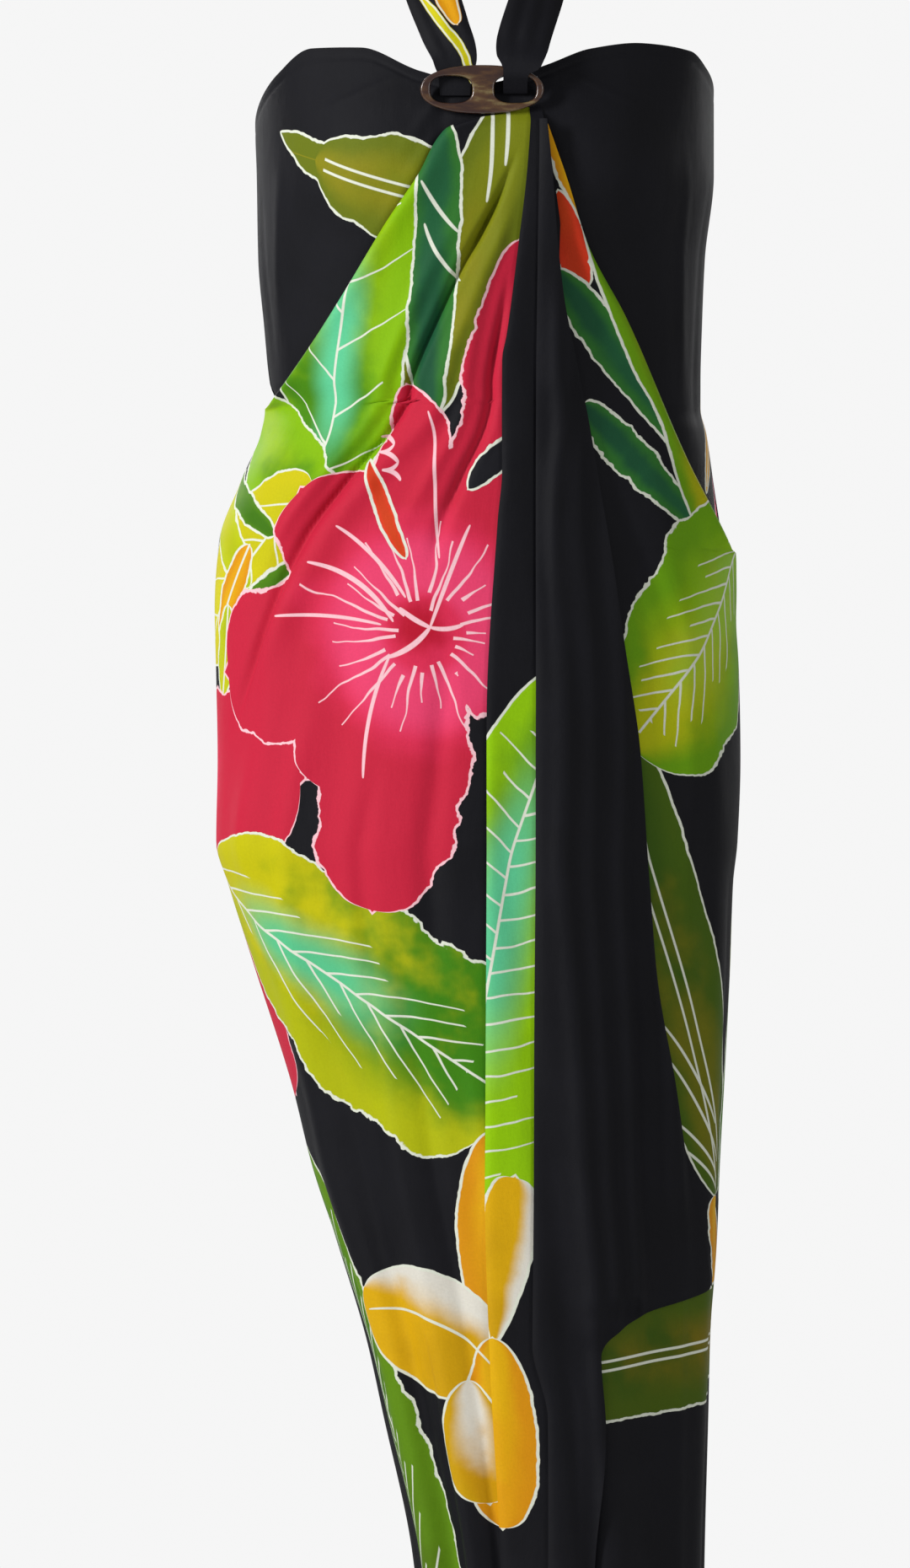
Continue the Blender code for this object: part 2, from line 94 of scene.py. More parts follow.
def along(table, column, at):
    """Smooth curve through one column of a table against its first, which never overshoots its values"""
    xs, ys = table[:, 0], table[:, column]
    step = np.diff(xs)
    slope = np.diff(ys) / step
    same_way = slope[1:] * slope[:-1] > 0
    total = np.where(same_way, slope[1:] + slope[:-1], 1.0)
    middle = np.where(same_way, 2 * slope[1:] * slope[:-1] / total, 0.0)
    tangent = np.concatenate(([slope[0]], middle, [slope[-1]]))
    k = np.clip(np.searchsorted(xs, at) - 1, 0, len(step) - 1)
    f = np.clip((at - xs[k]) / step[k], 0, 1)
    rise = step[k] * (f * (1 - f) ** 2 * tangent[k] - f * f * (1 - f) * tangent[k + 1])
    return ys[k] * (1 + 2 * f) * (1 - f) ** 2 + ys[k + 1] * f * f * (3 - 2 * f) + rise


def ease(share):
    share = np.clip(share, 0, 1)
    return share * share * (3 - 2 * share)


def half_width(drop):
    return (along(BODY, 2, drop) - along(BODY, 1, drop)) / 2


def fold_height(table, angle, drop):
    """Height of a table's folds at each point"""
    height = np.zeros(np.broadcast(angle, drop).shape)
    for drop_0, angle_0, drop_1, angle_1, width_0, height_0, width_1, height_1 in table:
        share = (drop - drop_0) / (drop_1 - drop_0)
        way = np.clip(share, 0, 1)
        off = np.radians(angle - (angle_0 + (angle_1 - angle_0) * way)) * MEAN_RADIUS
        width = width_0 + (width_1 - width_0) * way
        start = ease((drop - drop_0) / min(FOLD_START, (drop_1 - drop_0) / 3))
        end = 1 if drop_1 > HEM else ease((drop_1 - drop) / min(FOLD_END, (drop_1 - drop_0) / 3))
        height += (height_0 + (height_1 - height_0) * way) * np.exp(-((off / width) ** 2)) * start * end
    return height


def relief(angle, drop):
    """Height of the large folds and of the bust over the plain cross-section"""
    height = fold_height(FOLDS, angle, drop)
    for middle in BUST["angles"]:
        across = np.radians(angle - middle) * MEAN_RADIUS / BUST["reach"]
        down = (drop - BUST["drop"]) / BUST["reach"]
        height += BUST["height"] * np.exp(-(across**2) - down**2)
    return height


def place(angle, drop, lift):
    """Points of a layer that stands lift mm off the wrap"""
    left, right = along(BODY, 1, drop), along(BODY, 2, drop)
    turn = np.radians(angle)
    front = np.sin(turn) >= 0
    depth = np.where(front, MIDDLE_Y - along(BODY, 3, drop), along(BODY, 4, drop) - MIDDLE_Y)
    half = (right - left) / 2
    x = (left + right) / 2 + half * np.cos(turn)
    y = MIDDLE_Y - np.where(front, 1, -1) * depth * np.abs(np.sin(turn)) ** FLATNESS
    normal_x, normal_y = np.cos(turn) / half, -np.sin(turn) / depth
    length = np.hypot(normal_x, normal_y)
    out = lift + relief(angle, drop)
    return np.stack([x + out * normal_x / length, y + out * normal_y / length, -drop], axis=-1)


def angle_at(drop, x):
    """The angle, in the front half, at which the wrap passes x"""
    middle = (along(BODY, 1, drop) + along(BODY, 2, drop)) / 2
    return np.degrees(np.arccos(np.clip((x - middle) / half_width(drop), -SIDE_LIMIT, SIDE_LIMIT)))


def cloth_across(angle, drop):
    """How far right of the front's middle line each point lies on the flat cloth, and the girth there"""
    turns = np.radians(np.linspace(0, 360, 361))
    half = half_width(drop)[..., None]
    front = MIDDLE_Y - along(BODY, 3, drop)[..., None]
    back = along(BODY, 4, drop)[..., None] - MIDDLE_Y
    depth = np.where(np.sin(turns) >= 0, front, back)
    speed = np.hypot(half * np.sin(turns), depth * np.cos(turns)) * math.radians(1)
    run = np.cumsum(speed, axis=-1) - speed
    girth = run[..., -1]
    whole = np.clip(np.floor(angle).astype(int), 0, 359)
    before = np.take_along_axis(run, whole[..., None], -1)[..., 0]
    part = (angle - whole) * np.take_along_axis(speed, whole[..., None], -1)[..., 0]
    return run[..., 90] - (before + part), girth


def add_object(name, data):
    made = bpy.data.objects.new(name, data)
    bpy.context.scene.collection.objects.link(made)
    return made


def sheet_mesh(name, points, print_maps, material):
    """A thin sheet from rows of its middle points, with each point's place in the maps of the print"""
    rows, columns = points.shape[:2]
    number = np.arange(rows * columns).reshape(rows, columns)
    corners = np.stack([number[:-1, :-1], number[:-1, 1:], number[1:, 1:], number[1:, :-1]], axis=-1)
    corners = corners.reshape(-1, 4)
    mesh = bpy.data.meshes.new(name)
    mesh.from_pydata((points.reshape(-1, 3) * MM).tolist(), [], corners.tolist())
    mesh.polygons.foreach_set("use_smooth", [True] * len(mesh.polygons))
    # Borders are sharp, so that the shading of the cloth's rim doesn't spread onto its face
    ends = np.array([edge.vertices[:] for edge in mesh.edges])
    row, column = ends // columns, ends % columns
    on_end = (row[:, 0] == row[:, 1]) & np.isin(row[:, 0], (0, rows - 1))
    on_side = (column[:, 0] == column[:, 1]) & np.isin(column[:, 0], (0, columns - 1))
    mesh.edges.foreach_set("use_edge_sharp", on_end | on_side)
    for label, at in print_maps.items():
        layer = mesh.uv_layers.new(name=label)
        layer.data.foreach_set("uv", at.reshape(-1, 2)[corners.reshape(-1)].astype(np.float32).ravel())
    mesh.materials.append(material)
    made = add_object(name, mesh)
    wall = made.modifiers.new("cloth", "SOLIDIFY")
    wall.thickness = CLOTH * MM
    wall.offset = 0
    return made


class Nodes:
    """Short names for adding shader nodes to one tree"""

    SINGLE = {"DOT_PRODUCT", "LENGTH", "DISTANCE"}

    def __init__(self, tree):
        self.tree = tree

    def connect(self, node, values):
        """Links an input to each value that is a socket, and sets the others"""
        for socket, value in values.items():
            if isinstance(value, bpy.types.NodeSocket):
                self.tree.links.new(value, node.inputs[socket])
            else:
                node.inputs[socket].default_value = value
        return node.outputs

    def add(self, kind, values=(), **settings):
        node = self.tree.nodes.new(kind)
        for key, value in settings.items():
            setattr(node, key, value)
        self.connect(node, values if isinstance(values, dict) else dict(enumerate(values)))
        return node

    def group(self, tree, values):
        return self.connect(self.add("ShaderNodeGroup", node_tree=tree), values)

    def math(self, operation, *values):
        return self.add("ShaderNodeMath", values, operation=operation).outputs[0]

    def vector(self, operation, *values):
        node = self.add("ShaderNodeVectorMath", values, operation=operation)
        return node.outputs["Value" if operation in self.SINGLE else "Vector"]

    def fade(self, value, low, high):
        """0 below low, 1 above high, and smooth between them"""
        values = {"Value": value, "From Min": low, "From Max": high}
        return self.add("ShaderNodeMapRange", values, interpolation_type="SMOOTHSTEP").outputs[0]

    def mix(self, share, first, second):
        return self.add("ShaderNodeMix", {0: share, 6: first, 7: second}, data_type="RGBA").outputs[2]

    def noise(self, point, scale, detail=2.0):
        values = {"Vector": point, "Scale": scale, "Detail": detail}
        return self.add("ShaderNodeTexNoise", values).outputs["Fac"]


def new_group(name, inputs, outputs):
    """An empty node group with its sockets, its node maker, its inputs and its output node"""
    tree = bpy.data.node_groups.new(name, "ShaderNodeTree")
    for label, kind, value in inputs:
        socket = tree.interface.new_socket(name=label, in_out="INPUT", socket_type="NodeSocket" + kind)
        if value is not None:
            socket.default_value = value
    for label, kind in outputs:
        tree.interface.new_socket(name=label, in_out="OUTPUT", socket_type="NodeSocket" + kind)
    g = Nodes(tree)
    return g, g.add("NodeGroupInput").outputs, g.add("NodeGroupOutput").inputs


def rgb(*colour):
    """A colour given as 0 to 255 of sRGB"""
    return (*(((c / 255 + 0.055) / 1.055) ** 2.4 if c > 10 else c / 3295 for c in colour), 1.0)


SOFTNESS = 0.3      # how far a wax line fades to each side of its edge


def line_mask(g, distance, width):
    """1 within half a width of a line"""
    half = g.math("MULTIPLY", width, 0.5)
    outside = g.fade(distance, g.math("SUBTRACT", half, SOFTNESS), g.math("ADD", half, SOFTNESS))
    return g.math("SUBTRACT", 1.0, outside)


def brush_group():
    """The unsteady hand behind every motif, worked out once for each point of a print"""
    g, i, o = new_group(
        "batik brush", (("Point", "Vector", None),),
        (("Margin", "Float"), ("Sway", "Float"), ("Cloud", "Float")),
    )
    slow = g.math("MULTIPLY", g.math("SUBTRACT", g.noise(i["Point"], 0.055), 0.5), 15.0)
    quick = g.math("MULTIPLY", g.math("SUBTRACT", g.noise(i["Point"], 0.21), 0.5), 5.0)
    g.tree.links.new(g.math("ADD", slow, quick), o["Margin"])
    g.tree.links.new(g.math("SUBTRACT", g.noise(i["Point"], 0.025), 0.5), o["Sway"])
    g.tree.links.new(g.math("SUBTRACT", g.noise(i["Point"], 0.028, 3.0), 0.5), o["Cloud"])
    return g.tree


def lobe_group():
    """One lobe of a motif: how far inside its margin a point lies, and where along and across it"""
    g, i, o = new_group("batik lobe", (
        ("Point", "Vector", None), ("Base", "Vector", None), ("Tip", "Vector", None),
        ("Half width", "Float", 20.0), ("Bend", "Float", 0.0), ("Fore", "Float", 0.6), ("Aft", "Float", 0.7),
        ("Skew", "Float", 0.0), ("Wave", "Float", 0.0), ("Waves", "Float", 3.0), ("Ragged", "Float", 1.0),
        ("Margin", "Float", 0.0),
    ), (("Rim", "Float"), ("Share", "Float"), ("Side", "Float"), ("Off rib", "Float"), ("Run", "Float")))
    way = g.vector("SUBTRACT", i["Tip"], i["Base"])
    length = g.vector("LENGTH", way)
    ahead = g.vector("NORMALIZE", way)
    from_base = g.vector("SUBTRACT", i["Point"], i["Base"])
    share = g.math("DIVIDE", g.vector("DOT_PRODUCT", from_base, ahead), length)
    inside = g.add("ShaderNodeClamp", {"Value": share, "Min": 0.0001, "Max": 0.9999}).outputs[0]
    rest = g.math("SUBTRACT", 1.0, inside)
    aside = g.vector("DOT_PRODUCT", from_base, g.vector("CROSS_PRODUCT", (0, 0, 1), ahead))
    bow = g.math("MULTIPLY", g.math("MULTIPLY", inside, rest), g.math("MULTIPLY", i["Bend"], 4.0))
    off_rib = g.math("SUBTRACT", aside, bow)
    side = g.math("SIGN", off_rib)
    skewed = g.math("POWER", inside, g.math("ADD", 1.0, g.math("MULTIPLY", i["Skew"], side)))
    full = g.math("MULTIPLY", g.math("POWER", skewed, i["Fore"]),
                  g.math("POWER", g.math("SUBTRACT", 1.0, skewed), i["Aft"]))
    turns = g.math("MULTIPLY", i["Waves"], 2 * math.pi)
    turn = g.math("MULTIPLY", g.math("ADD", inside, g.math("MULTIPLY", side, 0.21)), turns)
    scallop = g.math("ADD", 1.0, g.math("MULTIPLY", g.math("SINE", turn), i["Wave"]))
    ragged = g.math("MULTIPLY", i["Margin"], i["Ragged"])
    wide = g.math("MULTIPLY", full, g.math("ADD", g.math("MULTIPLY", i["Half width"], scallop), ragged))
    beyond = g.math("MULTIPLY", g.math("ABSOLUTE", g.math("SUBTRACT", share, inside)), length)
    rim = g.math("SUBTRACT", g.math("SUBTRACT", wide, g.math("ABSOLUTE", off_rib)), beyond)
    for label, value in (
        ("Rim", rim), ("Share", inside), ("Off rib", off_rib), ("Run", g.math("MULTIPLY", inside, length)),
        ("Side", g.math("DIVIDE", off_rib, g.math("MAXIMUM", wide, 0.5))),
    ):
        g.tree.links.new(value, o[label])
    return g.tree


def vein_group():
    """Wax lines of a leaf: its single or double rib, and the veins that slant from it towards the tip"""
    g, i, o = new_group("batik veins", (
        ("Sway", "Float", 0.0), ("Share", "Float", 0.0), ("Side", "Float", 0.0), ("Off rib", "Float", 0.0),
        ("Run", "Float", 0.0), ("Rim", "Float", 0.0), ("Rib gap", "Float", 0.0),
        ("Vein step", "Float", 14.0), ("Lean", "Float", 0.9), ("Veins", "Float", 1.0),
        ("Reach", "Float", 0.5), ("Line", "Float", 2.0),
    ), (("Wax", "Float"),))
    off = g.math("ABSOLUTE", i["Off rib"])
    ratio = g.math("ABSOLUTE", i["Side"])
    rib = line_mask(g, g.math("ABSOLUTE", g.math("SUBTRACT", off, i["Rib gap"])), i["Line"])
    rib = g.math("MULTIPLY", rib, g.fade(i["Rim"], 0.0, 1.5))
    rib = g.math("MULTIPLY", rib, g.math("LESS_THAN", i["Share"], 0.94))
    sway = g.math("MULTIPLY", i["Sway"], 9.0)
    curl = g.math("DIVIDE", g.math("POWER", off, 1.6), 22.0)
    run = g.math("SUBTRACT", i["Run"], g.math("MULTIPLY", g.math("ADD", off, curl), i["Lean"]))
    other = g.math("MULTIPLY", g.math("GREATER_THAN", i["Off rib"], 0.0), 0.45)
    step = g.math("ADD", g.math("DIVIDE", g.math("ADD", run, sway), i["Vein step"]), other)
    number = g.math("ADD", g.math("FLOOR", step), g.math("MULTIPLY", other, 31.0))
    chance = g.add("ShaderNodeTexWhiteNoise", {"W": number}, noise_dimensions="1D").outputs["Value"]
    away = g.math("ABSOLUTE", g.math("SUBTRACT", g.math("FRACT", step), 0.5))
    slant = g.math("SQRT", g.math("ADD", 1.0, g.math("POWER", i["Lean"], 2.0)))
    away = g.math("DIVIDE", g.math("MULTIPLY", away, i["Vein step"]), slant)
    taper = g.math("MULTIPLY", i["Line"], g.math("SUBTRACT", 0.95, g.math("MULTIPLY", ratio, 0.5)))
    end = g.math("ADD", i["Reach"], g.math("MULTIPLY", chance, 0.35))
    vein = g.math("MULTIPLY", line_mask(g, away, taper), g.math("LESS_THAN", ratio, end))
    vein = g.math("MULTIPLY", vein, g.math("MULTIPLY", i["Veins"], g.math("LESS_THAN", i["Share"], 0.88)))
    g.tree.links.new(g.math("MAXIMUM", rib, vein), o["Wax"])
    return g.tree


def ray_group():
    """Wax lines of a flower: uneven rays that fan out from its throat and stop before the margin"""
    g, i, o = new_group("batik rays", (
        ("Point", "Vector", None), ("Centre", "Vector", None), ("Sway", "Float", 0.0),
        ("Rays", "Float", 30.0), ("From", "Float", 26.0), ("To", "Float", 80.0), ("Line", "Float", 1.9),
    ), (("Wax", "Float"), ("Away", "Float")))
    apart = g.vector("SUBTRACT", i["Point"], i["Centre"])
    away = g.vector("LENGTH", apart)
    axes = g.add("ShaderNodeSeparateXYZ", (apart,)).outputs
    turn = g.math("ADD", g.math("DIVIDE", g.math("ARCTAN2", axes[1], axes[0]), 2 * math.pi), 0.5)
    fan = g.math("ADD", g.math("MULTIPLY", turn, i["Rays"]), i["Sway"])
    chance = g.add("ShaderNodeTexWhiteNoise", {"W": g.math("FLOOR", fan)}, noise_dimensions="1D").outputs
    shift = g.math("MULTIPLY", g.math("SUBTRACT", chance["Value"], 0.5), 0.4)
    beside = g.math("ABSOLUTE", g.math("ADD", g.math("SUBTRACT", g.math("FRACT", fan), 0.5), shift))
    beside = g.math("MULTIPLY", beside, g.math("DIVIDE", g.math("MULTIPLY", away, 2 * math.pi), i["Rays"]))
    tint = g.add("ShaderNodeSeparateColor", (chance["Color"],)).outputs
    first = g.math("ADD", i["From"], g.math("MULTIPLY", tint[1], 20.0))
    spread = g.math("SUBTRACT", i["To"], i["From"])
    reach = g.math("ADD", 0.25, g.math("MULTIPLY", tint[2], 0.75))
    last = g.math("ADD", i["From"], g.math("MULTIPLY", spread, reach))
    thin = g.math("MULTIPLY", i["Line"], g.math("SUBTRACT", 1.2, g.fade(away, first, last)))
    ray = line_mask(g, beside, g.math("MAXIMUM", thin, 0.9))
    ray = g.math("MULTIPLY", ray, g.math("GREATER_THAN", away, first))
    ray = g.math("MULTIPLY", ray, g.math("LESS_THAN", away, last))
    g.tree.links.new(ray, o["Wax"])
    g.tree.links.new(away, o["Away"])
    return g.tree


def paint_group():
    """Dyes brushed inside a wax outline, from root to tip and out to the sides, with a glowing spot"""
    g, i, o = new_group("batik paint", (
        ("Cloud", "Float", 0.0), ("Rim", "Float", 0.0), ("Share", "Float", 0.0), ("Side", "Float", 0.0),
        ("Wax", "Float", 0.0), ("Line", "Float", 2.0), ("One side", "Float", 0.0), ("Glow at", "Float", 0.5),
        ("Glow", "Float", 0.0), ("Root colour", "Color", None), ("Tip colour", "Color", None),
        ("Side colour", "Color", None), ("Glow colour", "Color", None), ("Line colour", "Color", None),
    ), (("Color", "Color"), ("Cover", "Float")))
    ratio = g.math("ABSOLUTE", i["Side"])
    to_tip = g.fade(g.math("ADD", i["Share"], g.math("MULTIPLY", i["Cloud"], 1.1)), 0.2, 0.8)
    dye = g.mix(to_tip, i["Root colour"], i["Tip colour"])
    chosen = g.math("MULTIPLY", i["Side"], i["One side"])
    evenly = g.math("MULTIPLY", ratio, g.math("SUBTRACT", 1.0, g.math("ABSOLUTE", i["One side"])))
    outward = g.math("ADD", g.math("ADD", chosen, evenly), g.math("MULTIPLY", i["Cloud"], 0.8))
    dye = g.mix(g.fade(outward, 0.2, 0.85), dye, i["Side colour"])
    near_rib = g.math("SUBTRACT", 1.0, g.fade(ratio, 0.05, 0.5))
    from_spot = g.math("ABSOLUTE", g.math("SUBTRACT", i["Share"], i["Glow at"]))
    near_spot = g.math("SUBTRACT", 1.0, g.fade(from_spot, 0.08, 0.34))
    glow = g.math("MULTIPLY", g.math("MULTIPLY", near_rib, near_spot), i["Glow"])
    dye = g.mix(glow, dye, i["Glow colour"])
    wax = g.math("MAXIMUM", line_mask(g, g.math("ABSOLUTE", i["Rim"]), i["Line"]), i["Wax"])
    g.tree.links.new(g.mix(wax, dye, i["Line colour"]), o["Color"])
    g.tree.links.new(g.fade(i["Rim"], -1.2, -0.7), o["Cover"])
    return g.tree


WARP_PITCH, WEFT_PITCH = 0.55, 0.6     # of the weave's threads
HEM_TURN, HEM_SEAM, STITCH = 9.0, 7.6, 3.2      # the lower hem's height, its seam's height and one stitch


def rayon_group():
    """The cloth under the print: black ground, dye unevenness, and a plain weave's height"""
    g, i, o = new_group(
        "rayon", (("Point", "Vector", None), ("Print", "Color", None), ("Cover", "Float", 0.0)),
        (("Color", "Color"), ("Roughness", "Float"), ("Height", "Float")),
    )
    patch = g.noise(i["Point"], 0.02, 4.0)
    ground = g.mix(patch, rgb(12, 12, 16), rgb(24, 24, 30))
    colour = g.mix(i["Cover"], ground, i["Print"])
    fleck = g.math("ADD", 0.72, g.math("MULTIPLY", g.noise(i["Point"], 0.6, 3.0), 0.14))
    shaded = g.vector("MULTIPLY", colour, g.add("ShaderNodeCombineXYZ", (fleck, fleck, fleck)).outputs[0])
    flat = g.add("ShaderNodeSeparateXYZ", (i["Point"],)).outputs
    warp = g.math("SINE", g.math("MULTIPLY", flat[0], 2 * math.pi / WARP_PITCH))
    weft = g.math("SINE", g.math("MULTIPLY", flat[1], 2 * math.pi / WEFT_PITCH))
    threads = g.math("MULTIPLY", g.math("MULTIPLY", warp, weft), 0.06)
    slub = g.math("MULTIPLY", g.noise(g.vector("MULTIPLY", i["Point"], (1, 0.08, 1)), 1.2, 2.0), 0.12)
    crumple = g.math("MULTIPLY", g.noise(g.vector("MULTIPLY", i["Point"], (1, 0.45, 1)), 0.04, 4.0), 2.2)
    turned = g.math("MULTIPLY", g.fade(flat[1], HEM_TURN + 0.4 - HEM, HEM_TURN - 0.4 - HEM), -0.6)
    on_seam = line_mask(g, g.math("ABSOLUTE", g.math("ADD", flat[1], HEM - HEM_SEAM)), 0.9)
    stitch = g.math("GREATER_THAN", g.math("SINE", g.math("MULTIPLY", flat[0], 2 * math.pi / STITCH)), -0.3)
    hem = g.math("SUBTRACT", turned, g.math("MULTIPLY", g.math("MULTIPLY", on_seam, stitch), 0.5))
    g.tree.links.new(shaded, o["Color"])
    g.tree.links.new(g.math("ADD", 0.5, g.math("MULTIPLY", patch, 0.14)), o["Roughness"])
    g.tree.links.new(g.math("ADD", g.math("ADD", threads, slub), g.math("ADD", crumple, hem)), o["Height"])
    return g.tree


BRUSH, LOBE, VEINS, RAYS = brush_group(), lobe_group(), vein_group(), ray_group()
PAINT, RAYON = paint_group(), rayon_group()
LINE = 2.1          # width of the wax-resist lines
TIE_LINE = 1.1      # the same where the cloth is drawn together

WAX = rgb(226, 230, 214)
PINK_WAX = rgb(250, 200, 208)
# Dyes by name: root, tip, side and glow colours
DYES = {
    "olive": (rgb(120, 128, 16), rgb(136, 132, 20), rgb(104, 116, 18), rgb(160, 150, 30)),
    "bright": (rgb(72, 136, 10), rgb(150, 190, 2), rgb(132, 184, 0), rgb(96, 204, 150)),
    "lime": (rgb(172, 186, 4), rgb(196, 194, 8), rgb(186, 196, 8), rgb(160, 190, 20)),
    "yellow": (rgb(196, 190, 10), rgb(210, 202, 12), rgb(204, 194, 8), rgb(230, 200, 40)),
    "amber": (rgb(224, 158, 8), rgb(228, 176, 6), rgb(218, 146, 10), rgb(240, 200, 40)),
    "green": (rgb(62, 116, 8), rgb(92, 140, 10), rgb(78, 130, 10), rgb(90, 180, 110)),
    "teal": (rgb(28, 84, 54), rgb(34, 96, 58), rgb(50, 116, 44), rgb(70, 150, 110)),
    "big": (rgb(198, 192, 4), rgb(62, 130, 12), rgb(178, 184, 6), rgb(90, 196, 140)),
    "bud": (rgb(206, 158, 4), rgb(222, 172, 6), rgb(226, 222, 210), rgb(222, 190, 10)),
    "bud top": (rgb(204, 152, 4), rgb(228, 224, 212), rgb(206, 160, 4), rgb(222, 190, 10)),
    "strip": (rgb(150, 204, 0), rgb(110, 164, 18), rgb(146, 200, 2), rgb(96, 204, 150)),
    "ridge": (rgb(88, 142, 8), rgb(176, 174, 6), rgb(106, 156, 6), rgb(150, 180, 8)),
    "side": (rgb(140, 188, 6), rgb(184, 190, 8), rgb(108, 162, 8), rgb(170, 206, 60)),
    "long": (rgb(112, 112, 12), rgb(60, 92, 12), rgb(70, 98, 12), rgb(124, 104, 12)),
    "band": (rgb(64, 90, 12), rgb(124, 110, 14), rgb(74, 96, 12), rgb(110, 120, 20)),
    "edge": (rgb(84, 118, 14), rgb(72, 122, 14), rgb(96, 140, 14), rgb(190, 190, 20)),
    "red": (rgb(210, 66, 24), rgb(204, 58, 24), rgb(226, 60, 30), rgb(220, 80, 40)),
    "crimson": (rgb(186, 16, 46), rgb(222, 46, 84), rgb(200, 34, 62), rgb(238, 72, 118)),
    "ground": (rgb(22, 22, 28), rgb(24, 24, 30), rgb(22, 22, 28), rgb(24, 24, 30)),
}


def across_at(x, drop):
    """Where a spot seen from the front lies in the print, and on from there past the garment's sides"""
    at = np.array([float(drop)])
    left, right = along(BODY, 1, at)[0], along(BODY, 2, at)[0]
    seen = min(max(x, left + 1), right - 1)
    return float(cloth_across(angle_at(at, np.array([seen])), at)[0][0]) + x - seen


def split_settings(group, settings):
    """The settings that belong to a group's sockets"""
    return {key: value for key, value in settings.items() if key in group.interface.items_tree}


class Painter:
    """Adds painted motifs to one material in turn, the later ones on top"""

    def __init__(self, g, view):
        self.g, self.view = g, view
        self.line = TIE_LINE if view == "tie" else LINE
        maps = ("print", "print right") if view == "back" else ("print",)
        self.points, self.brushes = [], []
        for label in maps:
            at = g.vector("MULTIPLY", g.add("ShaderNodeUVMap", uv_map=label).outputs[0], (1, 1, 0))
            self.points.append(at)
            self.brushes.append(g.group(BRUSH, {"Point": at}))
        self.colour, self.cover, self.rim = (0, 0, 0, 1), 0.0, None

    def at(self, x):
        """The map of the print that a motif lies on, and the brush for it"""
        which = -1 if x > 0 else 0
        return self.points[which], self.brushes[which]

    def spot(self, x, drop):
        return (x if self.view == "tie" else across_at(x, drop), -drop, 0)

    def lobe(self, x_0, drop_0, x_1, drop_1, half, bend, fore, aft, settings):
        """A lobe joined to those before it"""
        widest = fore**fore * aft**aft / (fore + aft) ** (fore + aft)
        point, brush = self.at(x_0)
        out = self.g.group(LOBE, {
            "Point": point, "Margin": brush["Margin"], "Base": self.spot(x_0, drop_0),
            "Tip": self.spot(x_1, drop_1), "Half width": half / widest, "Bend": bend, "Fore": fore,
            "Aft": aft, **split_settings(LOBE, settings),
        })
        self.rim = out["Rim"] if self.rim is None else self.g.math("MAXIMUM", self.rim, out["Rim"])
        return out

    def paint(self, x, shape, wax, dye, line_colour, settings):
        """Dyes inside the joined lobes"""
        root, tip, side, glow = DYES[dye]
        out = self.g.group(PAINT, {
            "Cloud": self.at(x)[1]["Cloud"], "Rim": self.rim, "Wax": wax, "Line": self.line,
            "Root colour": root, "Tip colour": tip, "Side colour": side, "Glow colour": glow,
            "Line colour": line_colour,
            **shape, **split_settings(PAINT, settings),
        })
        self.colour = self.g.mix(out["Cover"], self.colour, out["Color"])
        self.cover = self.g.math("MAXIMUM", self.cover, out["Cover"])
        self.rim = None

    def blade(self, x_0, drop_0, x_1, drop_1, half, bend, fore, aft, dye, settings):
        """A leaf or bud without rib and veins"""
        out = self.lobe(x_0, drop_0, x_1, drop_1, half, bend, fore, aft, settings)
        self.paint(x_0, {"Share": out["Share"], "Side": out["Side"]}, 0.0, dye, WAX, settings)

    def leaf(self, x_0, drop_0, x_1, drop_1, half, bend, fore, aft, dye, settings):
        out = self.lobe(x_0, drop_0, x_1, drop_1, half, bend, fore, aft, settings)
        shape = {"Share": out["Share"], "Side": out["Side"]}
        veins = self.g.group(VEINS, {
            "Sway": self.at(x_0)[1]["Sway"], "Off rib": out["Off rib"], "Run": out["Run"], "Rim": self.rim,
            "Line": self.line * 0.85, **shape, **split_settings(VEINS, settings),
        })
        self.paint(x_0, shape, veins["Wax"], dye, WAX, settings)

    def petal(self, x_0, drop_0, x_1, drop_1, half, fore, aft):
        self.lobe(x_0, drop_0, x_1, drop_1, half, 0, fore, aft, {"Ragged": 1.6, "Wave": 0.05, "Waves": 3.5})

    def flower(self, x, drop, settings):
        """Rays and dyes of the petals before it, from the throat outwards"""
        point, brush = self.at(x)
        rays = self.g.group(RAYS, {
            "Point": point, "Sway": brush["Sway"], "Centre": self.spot(x, drop), **settings,
        })
        share = self.g.fade(rays["Away"], -12.0, 44.0)
        shape = {"Share": share, "Side": self.g.fade(rays["Away"], 40.0, 110.0)}
        self.paint(x, shape, rays["Wax"], "crimson", PINK_WAX, {"Glow at": 1.0, "Glow": 0.75})

    def stroke(self, x_0, drop_0, x_1, drop_1, width, bend, line_colour=PINK_WAX):
        """One wax line drawn over what is there"""
        self.lobe(x_0, drop_0, x_1, drop_1, width / 2, bend, 0.3, 0.3, {"Ragged": 0.0})
        self.colour = self.g.mix(self.g.fade(self.rim, -0.5, 0.1), self.colour, line_colour)
        self.rim = None


def new_material(name):
    """A material with its node maker and its shader"""
    made = bpy.data.materials.new(name)
    made.use_nodes = True
    return made, Nodes(made.node_tree), made.node_tree.nodes["Principled BSDF"]


def batik(name, motifs, view="front"):
    """Black rayon with the motifs of a table painted on it"""
    made, g, shader = new_material(name)
    painter = Painter(g, view)
    for kind, *values in motifs:
        getattr(painter, kind)(*values)
    cloth = g.group(RAYON, {"Point": painter.points[0], "Print": painter.colour, "Cover": painter.cover})
    bump = g.add("ShaderNodeBump", {"Strength": 0.6, "Distance": MM, "Height": cloth["Height"]})
    g.connect(shader, {
        "Base Color": cloth["Color"], "Roughness": cloth["Roughness"], "Normal": bump.outputs[0],
        "Specular IOR Level": 0.1, "Sheen Weight": 0.015, "Sheen Roughness": 0.4,
    })
    return made


def finish_cloth(piece, nodes, flat, area=None):
    """Rides on the body and stands for its solids. Its cut, width and length, and its area are not used"""
    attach(piece, "root")
    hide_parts(*nodes)


